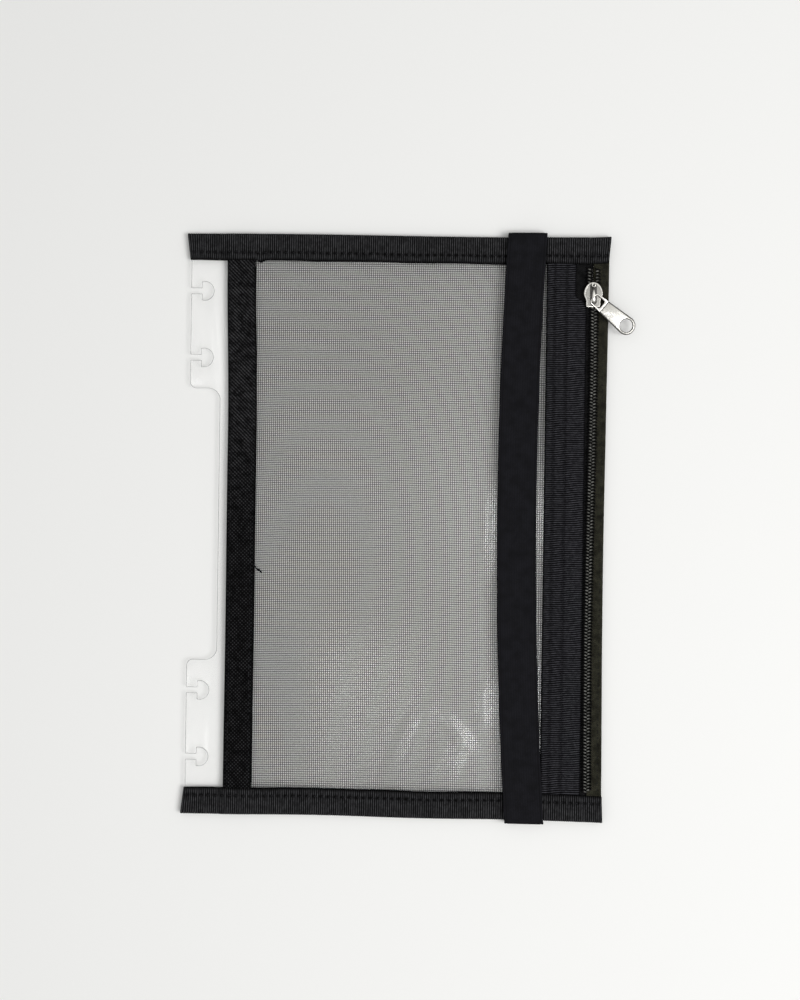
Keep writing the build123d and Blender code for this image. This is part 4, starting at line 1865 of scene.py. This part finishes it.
@dataclass
class ElasticLoop:
    """The elastic band: one closed loop that bows a little and sags between the two edges."""

    thickness: float = 0.6
    fold_radius: float = 1.3
    rib_pitch: float = 0.92
    rib_depth: float = 0.02
    steps_per_rib: int = 4
    edge_drop: float = 0.2
    edge_width: float = 0.2
    inner_columns: int = 5
    front_steps: int = 90
    back_steps: int = 30
    fold_steps: int = 6
    bow_top: float = 0.9
    bow_middle: float = -1.9
    bow_bottom: float = 2.3
    sag: float = 0.25
    selvedge: float = 0.92
    groove_width: float = 0.24
    groove_depth: float = 0.12

    def path(self, box: Extent) -> np.ndarray:
        """The loop's outer line in the YZ plane.

        Args:
            box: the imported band's box.

        Returns:
            For each point: Y, Z, the way out there as two numbers, and 1 on the front run or 0 off it.
        """
        reach, radius = box.y_high - self.fold_radius, self.fold_radius
        low, high = box.z_low + radius, box.z_high - radius
        front = [(y, box.z_high, 0.0, 1.0, 1.0) for y in np.linspace(-reach, reach, self.front_steps)]
        back = [(y, box.z_low, 0.0, -1.0, 0.0) for y in np.linspace(reach, -reach, self.back_steps)]
        corners = ((reach, high, 90), (reach, low, 0), (-reach, low, -90), (-reach, high, -180))
        rounds = []
        for y, z, start in corners:
            turns = np.radians(np.linspace(start, start - 90, self.fold_steps))
            ways = zip(np.cos(turns), np.sin(turns))
            rounds.append([(y + radius * c, z + radius * s, c, s, 0.0) for c, s in ways])
        return np.array(front + rounds[0][1:] + rounds[1][:-1] + back + rounds[2][1:] + rounds[3][:-1])

    def build(self) -> None:
        """Build and dress the band."""
        box = Extent.of("elastic_band")
        y, z, out_y, out_z, front = (column[:, None] for column in self.path(box).T)
        half = (box.x_high - box.x_low) / 2
        share = y / box.y_high
        tilt = (self.bow_top - self.bow_bottom) / 2
        mean_end = (self.bow_top + self.bow_bottom) / 2
        bow = self.bow_middle + (mean_end - self.bow_middle) * share**2 + tilt * share
        z = z - front * self.sag * (1 - share**2)
        count = round(2 * half / self.rib_pitch) * self.steps_per_rib
        across = np.linspace(-half, half, count + 1)
        ribs = self.rib_depth * (ridge((across + half) / self.rib_pitch) - 1)
        from_left = np.exp(-(across + half) / self.edge_width)
        from_right = np.exp(-(half - across) / self.edge_width)
        groove = np.exp(-(((half - np.abs(across) - self.selvedge) / self.groove_width) ** 2))
        lift = ribs - self.edge_drop * (from_left + from_right) - self.groove_depth * groove
        inner_across = np.linspace(half, -half, self.inner_columns)
        inner_y, inner_z = y - out_y * self.thickness, z - out_z * self.thickness
        centre = (box.x_low + box.x_high) / 2 + bow
        outer = np.broadcast_arrays(centre + across, y + out_y * lift, z + out_z * lift)
        inner = np.broadcast_arrays(centre + inner_across, inner_y, inner_z)
        rings = np.concatenate([np.stack(outer, axis=-1), np.stack(inner, axis=-1)], axis=1)
        faces = grid_faces(rings.shape[0], rings.shape[1], loop=True)
        # Painted light: the ribs' crests get a painted highlight, and the selvedge groove painted shade.
        level = (0.5 + crest_share(ribs, self.rib_depth) / 2) * (1 - groove)
        level = np.concatenate([level, np.zeros(self.inner_columns)])
        crest = np.broadcast_to(level, rings.shape[:2])
        piece = Shape(rings.reshape(-1, 3), faces, crest).piece("elastic_loop")
        dress(piece, ELASTIC, Body.BAND, "elastic_band")


@dataclass(frozen=True)
class Panel:
    """A soft lamp panel, which hangs level or leans to face the wallet."""

    name: str
    place: tuple[float, float, float]
    width: float
    height: float
    power: float
    leans: bool = False


@dataclass
class Studio:
    """The pale table, the soft light and the camera above the wallet."""

    target: tuple[float, float, float] = (-3.0, 10.06, 0.0)
    distance: float = 600.0
    roll: float = -0.78
    pitch: float = 0.053
    yaw: float = -2.843
    lens: float = 56.74
    near_clip: float = 10.0
    table_sides: int = 64
    table_reach: float = 1500.0
    table_z: float = -0.05
    sky_low: float = 0.18
    sky_high: float = 0.68
    panels: tuple[Panel, ...] = (
        Panel("key_panel", (850.0, -250.0, 1150.0), 750.0, 750.0, 12.3, leans=True),
        Panel("low_window", (-72.0, -165.0, 750.0), 60.0, 120.0, 0.06),
        Panel("right_window", (110.0, -190.0, 750.0), 75.0, 165.0, 0.27),
        Panel("side_window", (98.0, -16.0, 750.0), 60.0, 75.0, 0.1),
    )

    def build(self) -> None:
        """Set up the table, the light, the camera and the view."""
        self.build_table()
        self.build_sky()
        for panel in self.panels:
            self.hang(panel)
        self.build_camera()
        bpy.context.scene.view_settings.view_transform = "Standard"

    def build_table(self) -> None:
        """Make the round table top."""
        turn = np.linspace(0, 2 * np.pi, self.table_sides, endpoint=False)
        rim = np.stack([np.cos(turn), np.sin(turn), np.zeros_like(turn)], axis=-1) * self.table_reach
        table = Shape(rim + [0, 0, self.table_z], [list(range(self.table_sides))]).piece("table_top")
        table.data.materials.append(TABLE.material())

    def build_sky(self) -> None:
        """Light softly from all round, more from overhead, and show a plain pale backdrop."""
        world = bpy.data.worlds.new("studio")
        bpy.context.scene.world = world
        world.use_nodes = True
        tree = world.node_tree
        tree.nodes.clear()
        way = add_node(tree, "ShaderNodeTexCoord").outputs["Generated"]
        up = add_node(tree, "ShaderNodeSeparateXYZ", links={0: way}).outputs["Z"]
        level = add_node(
            tree, "ShaderNodeMapRange", {"To Min": self.sky_low, "To Max": self.sky_high}, {"Value": up}
        )
        light = add_node(
            tree, "ShaderNodeBackground", {"Color": linear("#ffffff")}, {"Strength": level.outputs[0]}
        )
        backdrop = {"Color": linear(TABLE.backdrop), "Strength": 1.0}
        shown = add_node(tree, "ShaderNodeBackground", backdrop)
        views = {0: seen_ray(tree), 1: light.outputs[0], 2: shown.outputs[0]}
        mixed = add_node(tree, "ShaderNodeMixShader", links=views)
        add_node(tree, "ShaderNodeOutputWorld", links={"Surface": mixed.outputs[0]})

    def hang(self, panel: Panel) -> None:
        """Hang a lamp panel.

        Args:
            panel: the panel.
        """
        data = bpy.data.lights.new(panel.name, "AREA")
        data.shape = "RECTANGLE"
        data.size, data.size_y = in_metres(panel.width, panel.height)
        data.energy = panel.power
        lamp = bpy.data.objects.new(panel.name, data)
        lamp.location = Vector(in_metres(*panel.place))
        if panel.leans:
            aim = Vector(in_metres(*self.target)) - lamp.location
            lamp.rotation_euler = aim.to_track_quat("-Z", "Y").to_euler()
        bpy.context.scene.collection.objects.link(lamp)

    def build_camera(self) -> None:
        """Hang the camera over the wallet, turned and leaning as in the photograph."""
        data = bpy.data.cameras.new("overhead")
        data.lens = self.lens
        data.clip_start = self.near_clip * MM
        camera = bpy.data.objects.new("overhead", data)
        turns = ((self.roll, "Z"), (self.pitch, "X"), (self.yaw, "Y"))
        into_camera = Matrix.Identity(3)
        for degrees, axis in turns:
            into_camera = into_camera @ Matrix.Rotation(math.radians(degrees), 3, axis)
        out_of_camera = into_camera.transposed()
        place = Vector(in_metres(*self.target)) + out_of_camera.col[2] * self.distance * MM
        camera.matrix_world = Matrix.Translation(place) @ out_of_camera.to_4x4()
        bpy.context.scene.collection.objects.link(camera)
        bpy.context.scene.camera = camera


def main() -> None:
    """Build every sub-assembly in order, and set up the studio."""
    logging.basicConfig(level=logging.INFO, format="%(message)s")
    layers, stitching = Layers(), Stitching()
    Studio().build()
    Pocket().build()
    BinderStrip().build()
    SideTape().build(stitching)
    ZipCloth().build(Stitching(pitch=2.4, length=1.5, thickness=0.34, lift=0.02))
    EdgeBinding(Edge.TOP, seed=11).build(layers, stitching)
    EdgeBinding(Edge.BOTTOM, seed=12).build(layers, stitching)
    ZipChain().build()
    ZipPuller().build()
    ElasticLoop().build()


if __name__ == "__main__":
    main()
